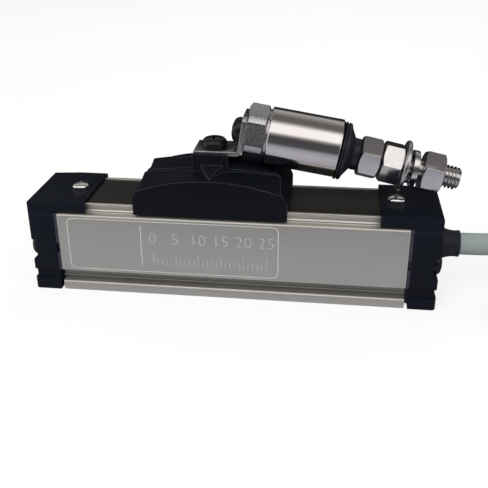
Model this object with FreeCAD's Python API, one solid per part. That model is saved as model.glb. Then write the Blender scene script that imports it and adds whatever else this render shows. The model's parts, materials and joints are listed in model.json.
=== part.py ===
import FreeCAD, Part
import math
import os

# Linear potentiometer displacement sensor: an extruded aluminium housing closed by two
# moulded end caps, a moulded carriage that slides on its rails and drives a wiper inside,
# and a ball joint with a threaded stud that links the carriage to a moving machine part.
# Millimetres, +Z up, +X towards the cable end, -Y the engraved front face.
# The origin is the middle of the underside of the extrusion.

# Extruded housing
PROFILE_LENGTH = 76.5
PROFILE_WIDTH = 20.0
FLANGE_HEIGHT = 2.3
RIB_Z = 3.6
BODY_FOOT_Z = 4.9
SHELF_Z = 18.7
RAIL_TOP_Z = 20.8
RAIL_INSET = 1.8
RIM_WIDTH = 0.8
SIDE_GROOVE_DEPTH = 1.8
RIB_DEPTH = 0.8
RAIL_FLUTE_DEPTH = 0.25
RAIL_FLUTE_LOW = 0.6
RAIL_FLUTE_HIGH = 1.65
CHANNEL_DEPTH = 0.95
SLOT_WIDTH = 3.0
WALL = 1.8
FLOOR_Z = 1.6
BOARD_SEAT_Z = 5.0
CAVITY_STEP = 1.6
CAVITY_SHOULDER_Z = 16.9
CAVITY_TOP_Z = 18.6
PORT_RADIUS = 2.7
EDGE_BREAK = 0.25

# End caps, gaskets and their screws
GASKET_THICK = 0.75
CAP_THICK = 6.0
CAP_TOP_Z = 21.3
CAP_SLOPE_DROP = 0.35
LIP_REACH = 6.25
LIP_INSET = 0.6
LIP_FOOT_Z = 18.95
CAP_CORNER_RADIUS = 0.9
TONGUE_INSET = 2.0
TONGUE_DEPTH = 2.3
POCKET_DEPTH = 1.3
POCKET_LOW_Z = 7.0
POCKET_HIGH_Z = 12.2
WAIST_DEPTH = 0.6
WAIST_LOW_Z = 2.6
END_SCREW_SHARE = 0.58
END_SCREW_Z = 9.6
BAND_SCREW_X = 35.5
BAND_SCREW_RADIUS = 1.0
BAND_SCREW_HEAD_RADIUS = 2.0
BAND_SCREW_HEAD_HEIGHT = 1.2
BAND_SCREW_LENGTH = 5.0

# Cover band over the slot
BAND_THICK = 0.2
BAND_SIDE_GAP = 0.6
BAND_TOP_Z = 20.6
BAND_HOLD = 6.0

# Resistive element
BOARD_THICK = 1.6
BOARD_LENGTH = 75.6
TRACK_THICK = 0.1
TRACK_LENGTH = 58.0
TRACK_INNER_Y = 0.4
TRACK_OVER_STEM = 0.1
PAD_LENGTH = 3.0
PAD_GROW = 0.2
RETURN_GAP = 1.6
RETURN_WIDTH = 0.8
RETURN_END = 1.5
RETURN_PAD_STEP = 4.0
RETURN_PAD_WIDTH = 2.2
WIRE_RADIUS = 0.45
WIRE_BEND = 1.2
WIRE_SIDE_Y = 1.2
WIRE_HIGH = 0.5
WIRE_LOW = 1.1

# M3 screws and brass insert
M3_RADIUS = 1.5
M3_HEAD_RADIUS = 2.8
M3_HEAD_HEIGHT = 2.2
END_SCREW_LENGTH = 14.0
BRACKET_SCREW_LENGTH = 6.0
JOINT_SCREW_LENGTH = 4.5
INSERT_RADIUS = 2.4
INSERT_LENGTH = 4.5
RECESS_WIDTH = 0.6
RECESS_SPAN = 3.0
RECESS_DEPTH = 1.1

# Carriage
CARRIAGE_X = -4.36
CARRIAGE_LENGTH = 33.4
CARRIAGE_INSET = 0.6
CARRIAGE_FOOT_Z = 19.1
CARRIAGE_CREST_Z = 27.4
CARRIAGE_CREST_RADIUS = 47.0
CARRIAGE_CORNER = 1.3
ROOF_STEP_SHARE = 0.48
ROOF_STEP_Z = 28.1
ROOF_STEP_RADIUS = 140.0
ROOF_STEP_HALF = 14.8
ROOF_TOP_SHARE = 0.265
ROOF_TOP_Z = 29.25
ROOF_TOP_RADIUS = 85.0
ROOF_TOP_HALF = 13.4
ROOF_CROWN_SHARE = 0.13
ROOF_CROWN_Z = 30.45
ROOF_CROWN_RADIUS = 38.0
ROOF_GROOVE = 0.35
CARRIAGE_SKIN = 1.8
CARRIAGE_WALL = 3.0
SKIRT_THICK = 1.0
PLATEAU_Z = 31.3
PLATEAU_LEFT = 4.2
PLATEAU_RIGHT = 3.4
PLATEAU_CHEEK = 0.6
PLATEAU_RIM = 0.5
POINTER_WIDTH = 5.2
POINTER_REACH = 4.0
POINTER_RISE = 0.25
POINTER_ROOT_Z = 29.6
PAD_SIZE_X = 6.0
PAD_SIZE_Z = 0.6

# Wiper carrier inside
CARRIER_THICK = 0.3
CARRIER_LENGTH = 12.0
CARRIER_EDGE_THICK = 0.25
CARRIER_EDGE_TOP_Z = 22.6
CARRIER_STEM_WIDTH = 2.4
WIPER_LENGTH = 14.0
WIPER_SIDE_GAP = 0.4
WIPER_TOP_DEPTH = 4.0
WIPER_STEM_GAP = 0.5
WIPER_FOOT_Z = 7.7
BRUSH_THICK = 0.2
BRUSH_INSET = 0.3
BRUSH_LENGTH = 4.5
BRUSH_FOOT = 6.0

# Bracket
BRACKET_THICK = 1.0
BRACKET_WIDTH = 8.0
BRACKET_LEFT_X = -8.45
BRACKET_BEND = 1.5
BRACKET_TOP_Z = 39.85
BRACKET_CHAMFER = 0.8

# Ball joint along its own axis
JOINT_X = 2.65
JOINT_Z = 35.85
JOINT_LEAN = 9.0
PLUG_ACROSS_FLATS = 11.5
PLUG_HEX_LENGTH = 4.4
PLUG_TURN = 17.0
PLUG_SPIGOT_RADIUS = 5.15
PLUG_SPIGOT_LENGTH = 3.2
GROOVE_LENGTH = 0.4
GROOVE_RADIUS = 5.6
HOUSING_RADIUS = 6.22
HOUSING_LENGTH = 15.2
BALL_STATION = 14.0
BALL_RADIUS = 3.75
LINER_INNER = 3.82
LINER_OUTER = 4.5
LINER_BACK = -3.2
LINER_FRONT = 2.4
SEAT_SPHERE = 4.58
BORE_RADIUS = 5.15
FRONT_WALL = 3.0
REAR_SEAT_LENGTH = 5.0
MOUTH_NEAR_RADIUS = 3.2
MOUTH_FAR_RADIUS = 4.45
SPRING_THICK = 0.5

# Stud train along its own axis, measured from the ball centre
STUD_SAG = 3.2
NECK_RADIUS = 2.25
THREAD_RADIUS = 2.5
THREAD_START = 10.6
THREAD_END = 32.4
THREAD_SEAT_RADIUS = 2.24
THREAD_FREE_GAP = 0.15
THREAD_TIP = 0.5
BOOT_GAP = 0.3
BOOT_FLANGE_END = 7.7
BOOT_FLANGE_RADIUS = 6.25
BOOT_NECK_RADIUS = 3.4
NUT_ACROSS_FLATS = 8.0
NUT_THICK = 4.4
NUT_INNER_START = 10.6
NUT_OUTER_START = 15.35
NUT_END_START = 24.2
NUT_TURN = 34.0
NUT_STAGGER = 20.0
FLAT_WASHER_START = 19.85
FLAT_WASHER_RADIUS = 5.5
FLAT_WASHER_THICK = 1.0
SPRING_WASHER_START = 21.3
SPRING_WASHER_RADIUS = 3.85
SPRING_WASHER_SECTION = 1.25
SPRING_WASHER_RISE = 0.9

# Cable
CABLE_RADIUS = 2.5
CABLE_Z = 11.7
GLAND_RADIUS = 3.9
GLAND_LENGTH = 4.9
GLAND_STEM_RADIUS = 3.1
GLAND_COLLAR = 0.4
GLAND_COLLAR_THICK = 0.6
HANK_NEAR_X = 82.5
HANK_Y = -12.5
HANK_RUN = 48.0
HANK_RADIUS = 15.0
HANK_LIFT = 0.45
HANK_PITCH = 5.1
HANK_LAYERS = 3
TAIL_SHIFT = 7.0
TAIL_FROM = 46.5
TAIL_TURN_OUT = 27.5
TAIL_TURN_BACK = 15.5
TAIL_TO = 4.5
CORE_RADIUS = 0.75
CORE_SPREAD = 0.95
CORE_LENGTH = 8.5
TIE_THICK = 0.35
TIE_WIDTH = 3.6
TIE_GAP = 0.1
TIE_SHARE = 0.75

# Clearances
RUN_FIT = 0.05
SLIDE_GAP = 0.15
FLAT_GAP = 0.1
SCREW_GAP = 0.1
JOINT_GAP = 0.25

# Sizes worked out from the above
HALF_PROFILE = PROFILE_LENGTH / 2
HALF_WIDTH = PROFILE_WIDTH / 2
RAIL_HALF_WIDTH = HALF_WIDTH - RAIL_INSET
CHANNEL_HALF = RAIL_HALF_WIDTH - RIM_WIDTH
BAND_HALF_WIDTH = CHANNEL_HALF - BAND_SIDE_GAP
LIP_HALF_WIDTH = HALF_WIDTH - LIP_INSET
END_SCREW_Y = HALF_WIDTH * END_SCREW_SHARE
CAP_INNER_X = HALF_PROFILE + GASKET_THICK
CAP_OUTER_X = CAP_INNER_X + CAP_THICK
CHANNEL_Z = RAIL_TOP_Z - CHANNEL_DEPTH
CAVITY_HALF = HALF_WIDTH - WALL
CAVITY_NARROW_HALF = CAVITY_HALF - CAVITY_STEP
TONGUE_HALF_WIDTH = CAVITY_NARROW_HALF - TONGUE_INSET
WIPER_HALF_WIDTH = CAVITY_NARROW_HALF - WIPER_SIDE_GAP
WIPER_STEM_HALF = END_SCREW_Y - PORT_RADIUS - WIPER_STEM_GAP
TRACK_OUTER_Y = WIPER_STEM_HALF + TRACK_OVER_STEM
TRACK_Y = (TRACK_INNER_Y + TRACK_OUTER_Y) / 2
TRACK_WIDTH = TRACK_OUTER_Y - TRACK_INNER_Y
CARRIAGE_HALF_WIDTH = HALF_WIDTH - CARRIAGE_INSET
ROOF_STEP_Y = CARRIAGE_HALF_WIDTH * ROOF_STEP_SHARE
ROOF_TOP_Y = CARRIAGE_HALF_WIDTH * ROOF_TOP_SHARE
ROOF_CROWN_Y = CARRIAGE_HALF_WIDTH * ROOF_CROWN_SHARE
PLATEAU_HALF_WIDTH = BRACKET_WIDTH / 2 + PLATEAU_CHEEK
BAND_LOW_Z = BAND_TOP_Z - BAND_THICK
BOARD_TOP_Z = BOARD_SEAT_Z + BOARD_THICK
TRACK_TOP_Z = BOARD_TOP_Z + TRACK_THICK
BRACKET_FOOT_Z = PLATEAU_Z
BRACKET_HEAD_Z = PLATEAU_Z + BRACKET_THICK
HOUSING_START = PLUG_HEX_LENGTH + GROOVE_LENGTH
HOUSING_END = HOUSING_START + HOUSING_LENGTH
HANK_OUTER = HANK_RADIUS + HANK_PITCH
HANK_LOW_Z = HANK_LIFT + CABLE_RADIUS
HANK_TOP_Z = HANK_LIFT + 2 * CABLE_RADIUS + (HANK_LAYERS - 1) * HANK_PITCH
TAIL_RUN_Y = HANK_Y - HANK_RADIUS
CABLE_INNER_X = CAP_INNER_X - RUN_FIT - GLAND_COLLAR_THICK
THREAD_FREE_START = NUT_END_START + NUT_THICK + THREAD_FREE_GAP
BAND_SCREW_FOOT_Z = CAP_TOP_Z - BAND_SCREW_LENGTH

V = FreeCAD.Vector
ORIGIN = V(0, 0, 0)
X_AXIS = V(1, 0, 0)
Y_AXIS = V(0, 1, 0)
Z_AXIS = V(0, 0, 1)
FULL_TURN = 360.0

JOINT_PLACE = FreeCAD.Placement(V(JOINT_X, 0, JOINT_Z), FreeCAD.Rotation(Y_AXIS, JOINT_LEAN))
BALL_CENTRE = JOINT_PLACE.multVec(V(BALL_STATION, 0, 0))
STUD_PLACE = FreeCAD.Placement(BALL_CENTRE, FreeCAD.Rotation(Y_AXIS, JOINT_LEAN + STUD_SAG))
SEAT_PLACE = FreeCAD.Placement(BALL_CENTRE, FreeCAD.Rotation(Y_AXIS, JOINT_LEAN))


def box(x0, x1, y0, y1, z0, z1):
    """Block between two corners."""
    return Part.makeBox(x1 - x0, y1 - y0, z1 - z0, V(x0, y0, z0))


def rod_x(radius, x0, x1, y=0.0, z=0.0):
    """Cylinder along X."""
    return Part.makeCylinder(radius, x1 - x0, V(x0, y, z), X_AXIS)


def rod_z(radius, z0, z1, x=0.0, y=0.0):
    """Cylinder along Z."""
    return Part.makeCylinder(radius, z1 - z0, V(x, y, z0), Z_AXIS)


def prism_x(points, x0, x1):
    """Polygon given as (y, z), drawn out along X."""
    corners = [V(x0, y, z) for y, z in points]
    face = Part.Face(Part.makePolygon(corners + corners[:1]))
    return face.extrude(V(x1 - x0, 0, 0))


def prism_y(points, y0, y1):
    """Polygon given as (x, z), drawn out along Y."""
    corners = [V(x, y0, z) for x, z in points]
    face = Part.Face(Part.makePolygon(corners + corners[:1]))
    return face.extrude(V(0, y1 - y0, 0))


def turned(points):
    """Closed outline given as (station, radius), turned about the X axis."""
    corners = [V(x, 0, r) for x, r in points]
    face = Part.Face(Part.makePolygon(corners + corners[:1]))
    return face.revolve(ORIGIN, X_AXIS, FULL_TURN)


def hexagon(across_flats, x0, x1, turn, corner_radius):
    """Hexagon bar along X whose corners are turned down to a radius at both ends."""
    reach = across_flats / math.sqrt(3)
    steps = [math.radians(turn + 60 * k) for k in range(6)]
    bar = prism_x([(reach * math.cos(a), reach * math.sin(a)) for a in steps], x0, x1)
    slope = (corner_radius - across_flats / 2 * 0.97) * math.tan(math.radians(30))
    low = across_flats / 2 * 0.97
    round_off = turned([(x0, 0), (x0, low), (x0 + slope, corner_radius),
                        (x1 - slope, corner_radius), (x1, low), (x1, 0)])
    return bar.common(round_off)


def mirrored_x(shape):
    """Copy mirrored to the other end of the housing."""
    return shape.mirror(ORIGIN, X_AXIS)


def mirrored_y(shape):
    """Copy mirrored to the other side of the housing."""
    return shape.mirror(ORIGIN, Y_AXIS)


def both_sides(shape):
    """The shape fused with its copy on the other side."""
    return shape.fuse(mirrored_y(shape))


def placed(shape, placement):
    """Copy moved from its own axis to its place."""
    moved = shape.copy()
    moved.Placement = placement.multiply(moved.Placement)
    return moved


def pan_head_screw(shank_radius, length, head_radius, head_height):
    """Pan head screw along X: the head seats at 0 and stands towards -X, with a cross recess."""
    rim = V(-head_height * 0.2, 0, head_radius)
    shoulder = V(-head_height * 0.8, 0, head_radius * 0.78)
    crown = V(-head_height, 0, 0)
    corner = Part.Arc(rim, V(-head_height * 0.52, 0, head_radius * 0.955), shoulder).toShape()
    dome = Part.Arc(shoulder, V(-head_height * 0.95, 0, head_radius * 0.42), crown).toShape()
    tip = shank_radius * 0.35
    outline = [crown, V(length, 0, 0), V(length, 0, shank_radius - tip),
               V(length - tip, 0, shank_radius), V(0, 0, shank_radius), V(0, 0, head_radius), rim]
    lines = [Part.makeLine(a, b) for a, b in zip(outline, outline[1:])]
    screw = Part.Face(Part.Wire(lines + [corner, dome])).revolve(ORIGIN, X_AXIS, FULL_TURN)
    scale = head_radius / M3_HEAD_RADIUS
    span = RECESS_SPAN * scale / 2
    half = RECESS_WIDTH * scale / 2
    depth = -head_height + RECESS_DEPTH * scale
    for wide, tall in ((span, half), (half, span)):
        screw = screw.cut(box(-head_height - 1, depth, -wide, wide, -tall, tall))
    return screw


def rounded_route(route, set_back_limit):
    """Path of straight runs joined by tangent arcs, set back from each corner at most so far."""
    edges = []
    start = route[0]
    for before, corner, after in zip(route, route[1:], route[2:]):
        back = before - corner
        ahead = after - corner
        half_turn = (math.pi - back.getAngle(ahead)) / 2
        set_back = 0.45 * min(back.Length, ahead.Length)
        if set_back_limit:
            set_back = min(set_back, set_back_limit)
        radius = set_back / math.tan(half_turn)
        back.normalize()
        ahead.normalize()
        first = corner + back * set_back
        last = corner + ahead * set_back
        inward = back + ahead
        inward.normalize()
        depth = radius / math.cos(half_turn) - radius
        edges.append(Part.makeLine(start, first))
        edges.append(Part.Arc(first, corner + inward * depth, last).toShape())
        start = last
    edges.append(Part.makeLine(start, route[-1]))
    return Part.Wire(edges)


def pipe(path, radius):
    """Round bar along a path."""
    begin = path.OrderedVertexes[0].Point
    heading = path.OrderedEdges[0].tangentAt(path.OrderedEdges[0].FirstParameter)
    ring = Part.Wire(Part.makeCircle(radius, begin, heading))
    return path.makePipeShell([ring], True, True)


def ball_zone(outer, inner, x0, x1):
    """Shell of a ball between two stations on its own axis."""
    zone = Part.makeSphere(outer).common(rod_x(outer + 1, x0, x1))
    return zone.cut(Part.makeSphere(inner))


def profile_section():
    """Outer outline of the extrusion as (y, z), for the +Y half and mirrored."""
    deep = HALF_WIDTH - SIDE_GROOVE_DEPTH
    rib = HALF_WIDTH - RIB_DEPTH
    flute = RAIL_HALF_WIDTH - RAIL_FLUTE_DEPTH
    low = SHELF_Z + RAIL_FLUTE_LOW
    high = SHELF_Z + RAIL_FLUTE_HIGH
    rim = CHANNEL_HALF
    side = [(HALF_WIDTH, 0), (HALF_WIDTH, FLANGE_HEIGHT), (deep, FLANGE_HEIGHT),
            (deep, RIB_Z - 0.3), (rib, RIB_Z - 0.3), (rib, RIB_Z), (deep + 0.5, RIB_Z),
            (deep + 0.5, BODY_FOOT_Z), (HALF_WIDTH, BODY_FOOT_Z), (HALF_WIDTH, SHELF_Z),
            (RAIL_HALF_WIDTH, SHELF_Z), (RAIL_HALF_WIDTH, low - 0.15), (flute, low),
            (flute, high - 0.1), (RAIL_HALF_WIDTH, high), (RAIL_HALF_WIDTH, RAIL_TOP_Z),
            (rim, RAIL_TOP_Z), (rim, CHANNEL_Z)]
    return side + [(-y, z) for y, z in reversed(side)]


def profile_housing():
    """Aluminium extrusion with rails, clamp grooves, cavity, board seats and screw ports."""
    solid = prism_x(profile_section(), -HALF_PROFILE, HALF_PROFILE)
    far = HALF_PROFILE + 1
    narrow = CAVITY_NARROW_HALF
    cavity = box(-far, far, -CAVITY_HALF, CAVITY_HALF, BOARD_SEAT_Z, CAVITY_SHOULDER_Z)
    cavity = cavity.fuse(box(-far, far, -narrow, narrow, FLOOR_Z, CAVITY_TOP_Z))
    port = rod_x(PORT_RADIUS, -far, far, END_SCREW_Y, END_SCREW_Z)
    root = box(-far, far, END_SCREW_Y, CAVITY_HALF + 1,
               END_SCREW_Z - PORT_RADIUS * 0.8, END_SCREW_Z + PORT_RADIUS * 0.8)
    cavity = cavity.cut(both_sides(port.fuse(root)))
    solid = solid.cut(cavity)
    half_slot = SLOT_WIDTH / 2
    solid = solid.cut(box(-far, far, -half_slot, half_slot, CAVITY_TOP_Z - 1, RAIL_TOP_Z + 1))
    hole = rod_x(M3_RADIUS + RUN_FIT, -far, far, END_SCREW_Y, END_SCREW_Z)
    solid = solid.cut(both_sides(hole))
    long_edges = [e for e in solid.Edges if abs(e.Length - PROFILE_LENGTH) < 0.01
                  and abs(abs(e.CenterOfMass.y) - HALF_WIDTH) < 0.01]
    return solid.makeChamfer(EDGE_BREAK, long_edges)


def cap_body():
    """Right end cap as one moulding: block, lip over the rails, tongue under the slot."""
    far = CAP_OUTER_X
    block = box(CAP_INNER_X, far, -HALF_WIDTH, HALF_WIDTH, 0, CAP_TOP_Z)
    corners = [e for e in block.Edges if abs(e.Length - CAP_TOP_Z) < 0.01
               and abs(e.CenterOfMass.x - far) < 0.01]
    block = block.makeFillet(CAP_CORNER_RADIUS, corners)
    shoulder = prism_x([(LIP_HALF_WIDTH, SHELF_Z), (HALF_WIDTH + 1, SHELF_Z),
                        (HALF_WIDTH + 1, CAP_TOP_Z + 1), (LIP_HALF_WIDTH - 0.1, CAP_TOP_Z + 1)],
                       CAP_INNER_X - 1, far + 1)
    bevel = prism_x([(HALF_WIDTH + 0.1, SHELF_Z - 0.5), (HALF_WIDTH + 1, SHELF_Z + 1),
                     (LIP_HALF_WIDTH, SHELF_Z + 0.01)], CAP_INNER_X - 1, far + 1)
    block = block.cut(both_sides(shoulder)).cut(both_sides(bevel))
    slope = prism_y([(CAP_INNER_X, CAP_TOP_Z), (far + 1, CAP_TOP_Z - CAP_SLOPE_DROP),
                     (far + 1, CAP_TOP_Z + 1), (CAP_INNER_X, CAP_TOP_Z + 1)],
                    -HALF_WIDTH - 1, HALF_WIDTH + 1)
    block = block.cut(slope)
    lip_x = HALF_PROFILE - LIP_REACH
    lip = box(lip_x, CAP_INNER_X, -LIP_HALF_WIDTH, LIP_HALF_WIDTH, LIP_FOOT_Z, CAP_TOP_Z)
    over = prism_x([(-RAIL_HALF_WIDTH - FLAT_GAP, LIP_FOOT_Z - 1),
                    (RAIL_HALF_WIDTH + FLAT_GAP, LIP_FOOT_Z - 1),
                    (RAIL_HALF_WIDTH + FLAT_GAP, RAIL_TOP_Z + RUN_FIT),
                    (-RAIL_HALF_WIDTH - FLAT_GAP, RAIL_TOP_Z + RUN_FIT)],
                   lip_x - 1, CAP_INNER_X)
    clamp = box(lip_x, CAP_INNER_X, -BAND_HALF_WIDTH, BAND_HALF_WIDTH,
                BAND_TOP_Z, RAIL_TOP_Z + 0.2)
    under = box(HALF_PROFILE - BAND_HOLD - 0.2, CAP_INNER_X, -BAND_HALF_WIDTH, BAND_HALF_WIDTH,
                CHANNEL_Z + RUN_FIT, BAND_LOW_Z)
    tongue = box(lip_x, CAP_INNER_X, -TONGUE_HALF_WIDTH, TONGUE_HALF_WIDTH,
                 CAVITY_TOP_Z - FLAT_GAP - TONGUE_DEPTH, CAVITY_TOP_Z - FLAT_GAP)
    cap = block.fuse([lip.cut(over), clamp, under, tongue])
    cap = cap.cut(pocket_cutter()).cut(waist_cutter())
    hole = rod_x(M3_RADIUS + SCREW_GAP, CAP_INNER_X - 1, far + 1, END_SCREW_Y, END_SCREW_Z)
    seat = rod_x(M3_HEAD_RADIUS + SCREW_GAP, far - POCKET_DEPTH, far + 1,
                 END_SCREW_Y, END_SCREW_Z)
    cap = cap.cut(both_sides(hole.fuse(seat)))
    band_hole = rod_z(BAND_SCREW_RADIUS + RUN_FIT, CHANNEL_Z, CAP_TOP_Z + 1, BAND_SCREW_X)
    core_low = BAND_SCREW_FOOT_Z - 0.2
    core_hole = rod_z(BAND_SCREW_RADIUS + RUN_FIT, core_low, CHANNEL_Z, BAND_SCREW_X)
    return cap.cut(band_hole).cut(core_hole).removeSplitter()


def pocket_cutter():
    """End face pocket round the two screw heads, open to the sides, with a sloping floor."""
    far = CAP_OUTER_X
    outline = [(far - POCKET_DEPTH, POCKET_LOW_Z + POCKET_DEPTH), (far + 1, POCKET_LOW_Z - 1),
               (far + 1, POCKET_HIGH_Z), (far - POCKET_DEPTH, POCKET_HIGH_Z)]
    inner = GLAND_RADIUS * 0.55
    return both_sides(prism_y(outline, inner, HALF_WIDTH + 1))


def waist_cutter():
    """Groove round the outside of the cap that carries on the clamp groove of the extrusion."""
    far = CAP_OUTER_X
    end = box(far - WAIST_DEPTH, far + 1, -HALF_WIDTH - 1, HALF_WIDTH + 1,
              WAIST_LOW_Z, BODY_FOOT_Z)
    side = box(CAP_INNER_X - 1, far + 1, HALF_WIDTH - WAIST_DEPTH, HALF_WIDTH + 1,
               WAIST_LOW_Z, BODY_FOOT_Z)
    return end.fuse(both_sides(side))


def end_cap_right():
    """Right cap with the hole for the cable gland and the collar seat behind it."""
    hole = rod_x(GLAND_STEM_RADIUS + RUN_FIT, CAP_INNER_X - 1, CAP_OUTER_X + 1, 0, CABLE_Z)
    return cap_body().cut(hole)


def end_cap_left():
    """Left cap, the mirror image with no cable hole."""
    return mirrored_x(cap_body())


def gasket_right():
    """Gasket sheet between the extrusion and the cap, with its three holes and slot relief."""
    sheet = box(HALF_PROFILE, CAP_INNER_X, -HALF_WIDTH + 0.15, HALF_WIDTH - 0.15,
                BODY_FOOT_Z, SHELF_Z)
    foot = box(HALF_PROFILE, CAP_INNER_X, -HALF_WIDTH + 2, HALF_WIDTH - 2, 0.3, BODY_FOOT_Z)
    hole = rod_x(M3_RADIUS + SCREW_GAP, HALF_PROFILE - 1, CAP_INNER_X + 1,
                 END_SCREW_Y, END_SCREW_Z)
    centre = rod_x(GLAND_STEM_RADIUS + GLAND_COLLAR + 0.1, HALF_PROFILE - 1, CAP_INNER_X + 1,
                   0, CABLE_Z)
    relief = box(HALF_PROFILE - 1, CAP_INNER_X + 1, -TONGUE_HALF_WIDTH - FLAT_GAP,
                 TONGUE_HALF_WIDTH + FLAT_GAP, CAVITY_TOP_Z - TONGUE_DEPTH - 0.3, SHELF_Z + 1)
    notch = box(HALF_PROFILE - 1, CAP_INNER_X + 1, -HALF_WIDTH, -HALF_WIDTH + 0.8,
                POCKET_LOW_Z + 2.3, POCKET_LOW_Z + 4.5)
    sheet = sheet.fuse(foot).removeSplitter()
    return sheet.cut(both_sides(hole)).cut(centre).cut(relief).cut(notch)


def end_screws(side):
    """The two screws of one end cap, in the ports of the extrusion."""
    screw = pan_head_screw(M3_RADIUS, END_SCREW_LENGTH, M3_HEAD_RADIUS, M3_HEAD_HEIGHT)
    turn = FreeCAD.Rotation(Z_AXIS, 0 if side < 0 else 180)
    seat = side * (CAP_OUTER_X - POCKET_DEPTH)
    pair = [placed(screw, FreeCAD.Placement(V(seat, y, END_SCREW_Z), turn))
            for y in (-END_SCREW_Y, END_SCREW_Y)]
    return Part.makeCompound(pair)


def down_screw(screw, x, z):
    """A screw with its head up, seated at a height."""
    turn = FreeCAD.Rotation(Y_AXIS, 90)
    return placed(screw, FreeCAD.Placement(V(x, 0, z), turn))


def band_screw(side):
    """Small screw that clamps the cover band between the lip and the tongue of a cap."""
    screw = pan_head_screw(BAND_SCREW_RADIUS, BAND_SCREW_LENGTH, BAND_SCREW_HEAD_RADIUS,
                           BAND_SCREW_HEAD_HEIGHT)
    return down_screw(screw, side * BAND_SCREW_X, CAP_TOP_Z)


def cover_band():
    """Thin steel band over the slot, held under both lips."""
    half = HALF_PROFILE - 0.2
    band = box(-half, half, -BAND_HALF_WIDTH, BAND_HALF_WIDTH, BAND_LOW_Z, BAND_TOP_Z)
    for side in (-1, 1):
        band = band.cut(rod_z(BAND_SCREW_RADIUS + RUN_FIT, CHANNEL_Z, CAP_TOP_Z,
                              side * BAND_SCREW_X))
    return band


def element_board():
    """Board that carries the tracks, slid into the seats of the extrusion."""
    half = BOARD_LENGTH / 2
    width = CAVITY_HALF - SLIDE_GAP
    return box(-half, half, -width, width, BOARD_SEAT_Z, BOARD_TOP_Z)


def track(y):
    """One printed track with a solder pad at its right end."""
    half = TRACK_LENGTH / 2
    strip = box(-half, half, y - TRACK_WIDTH / 2, y + TRACK_WIDTH / 2, BOARD_TOP_Z, TRACK_TOP_Z)
    wide = TRACK_WIDTH / 2 + PAD_GROW
    pad = box(half, half + PAD_LENGTH, y - wide, y + wide, BOARD_TOP_Z, TRACK_TOP_Z)
    return strip.fuse(pad).removeSplitter()


def resistive_track():
    """Conductive plastic track, led back along the board's edge to a pad of its own."""
    left = -TRACK_LENGTH / 2
    near = -TRACK_OUTER_Y - RETURN_GAP
    far = near - RETURN_WIDTH
    pad_start = TRACK_LENGTH / 2 + RETURN_PAD_STEP
    pad_end = pad_start + RETURN_PAD_WIDTH
    half_pad = RETURN_PAD_WIDTH / 2
    link = box(left - RETURN_END, left, far, -TRACK_INNER_Y, BOARD_TOP_Z, TRACK_TOP_Z)
    lane = box(left - RETURN_END, pad_end, far, near, BOARD_TOP_Z, TRACK_TOP_Z)
    cross = box(pad_end - RETURN_WIDTH, pad_end, near, 0, BOARD_TOP_Z, TRACK_TOP_Z)
    return_pad = box(pad_start, pad_end, -half_pad, half_pad, BOARD_TOP_Z, TRACK_TOP_Z)
    return track(-TRACK_Y).fuse([link, lane, cross, return_pad]).removeSplitter()


def lead_wire(side_y, rise, pad_x, pad_y):
    """One insulated core from the cable jacket down to a solder pad."""
    start = V(CABLE_INNER_X, side_y, CABLE_Z + rise)
    near = V(CABLE_INNER_X - 2 * WIRE_BEND, side_y, CABLE_Z + rise)
    knee = V(pad_x, pad_y, CABLE_Z + rise)
    end = V(pad_x, pad_y, TRACK_TOP_Z)
    route = [start, near, knee, end] if pad_y != side_y else [start, knee, end]
    return pipe(rounded_route(route, WIRE_BEND), WIRE_RADIUS)


def core_wires():
    """The three cores inside the housing, each bent down to its pad."""
    track_pad_x = TRACK_LENGTH / 2 + PAD_LENGTH / 2
    return_pad_x = TRACK_LENGTH / 2 + RETURN_PAD_STEP + RETURN_PAD_WIDTH / 2
    wires = [lead_wire(-WIRE_SIDE_Y, WIRE_HIGH, track_pad_x, -TRACK_Y),
             lead_wire(WIRE_SIDE_Y, WIRE_HIGH, track_pad_x, TRACK_Y),
             lead_wire(0.0, -WIRE_LOW, return_pad_x, 0.0)]
    return Part.makeCompound(wires)


def side_profile(y, points, crest_index, crest_mid):
    """Closed side outline of the carriage at one y, with an arc between two of its points."""
    corners = [V(x, y, z) for x, z in points]
    edges = []
    for k, start in enumerate(corners):
        end = corners[(k + 1) % len(corners)]
        if k == crest_index:
            edges.append(Part.Arc(start, V(crest_mid[0], y, crest_mid[1]), end).toShape())
        else:
            edges.append(Part.makeLine(start, end))
    return Part.Wire(edges)


def crest_height(top, radius, offset):
    """Height of a crest arc at a distance from the middle of the carriage."""
    return top - radius + math.sqrt(radius ** 2 - offset ** 2)


def carriage_layer(y, top, radius, half, shoulder_z, foot_z):
    """Side outline with a crest arc of a given reach that slopes down to both ends."""
    end = CARRIAGE_LENGTH / 2
    low = crest_height(top, radius, half)
    points = [(CARRIAGE_X - end, foot_z), (CARRIAGE_X + end, foot_z),
              (CARRIAGE_X + end, shoulder_z - CARRIAGE_CORNER),
              (CARRIAGE_X + end - CARRIAGE_CORNER * 0.45, shoulder_z),
              (CARRIAGE_X + half, low), (CARRIAGE_X - half, low),
              (CARRIAGE_X - end + CARRIAGE_CORNER * 0.45, shoulder_z),
              (CARRIAGE_X - end, shoulder_z - CARRIAGE_CORNER)]
    return side_profile(y, points, 4, (CARRIAGE_X, top))


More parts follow.
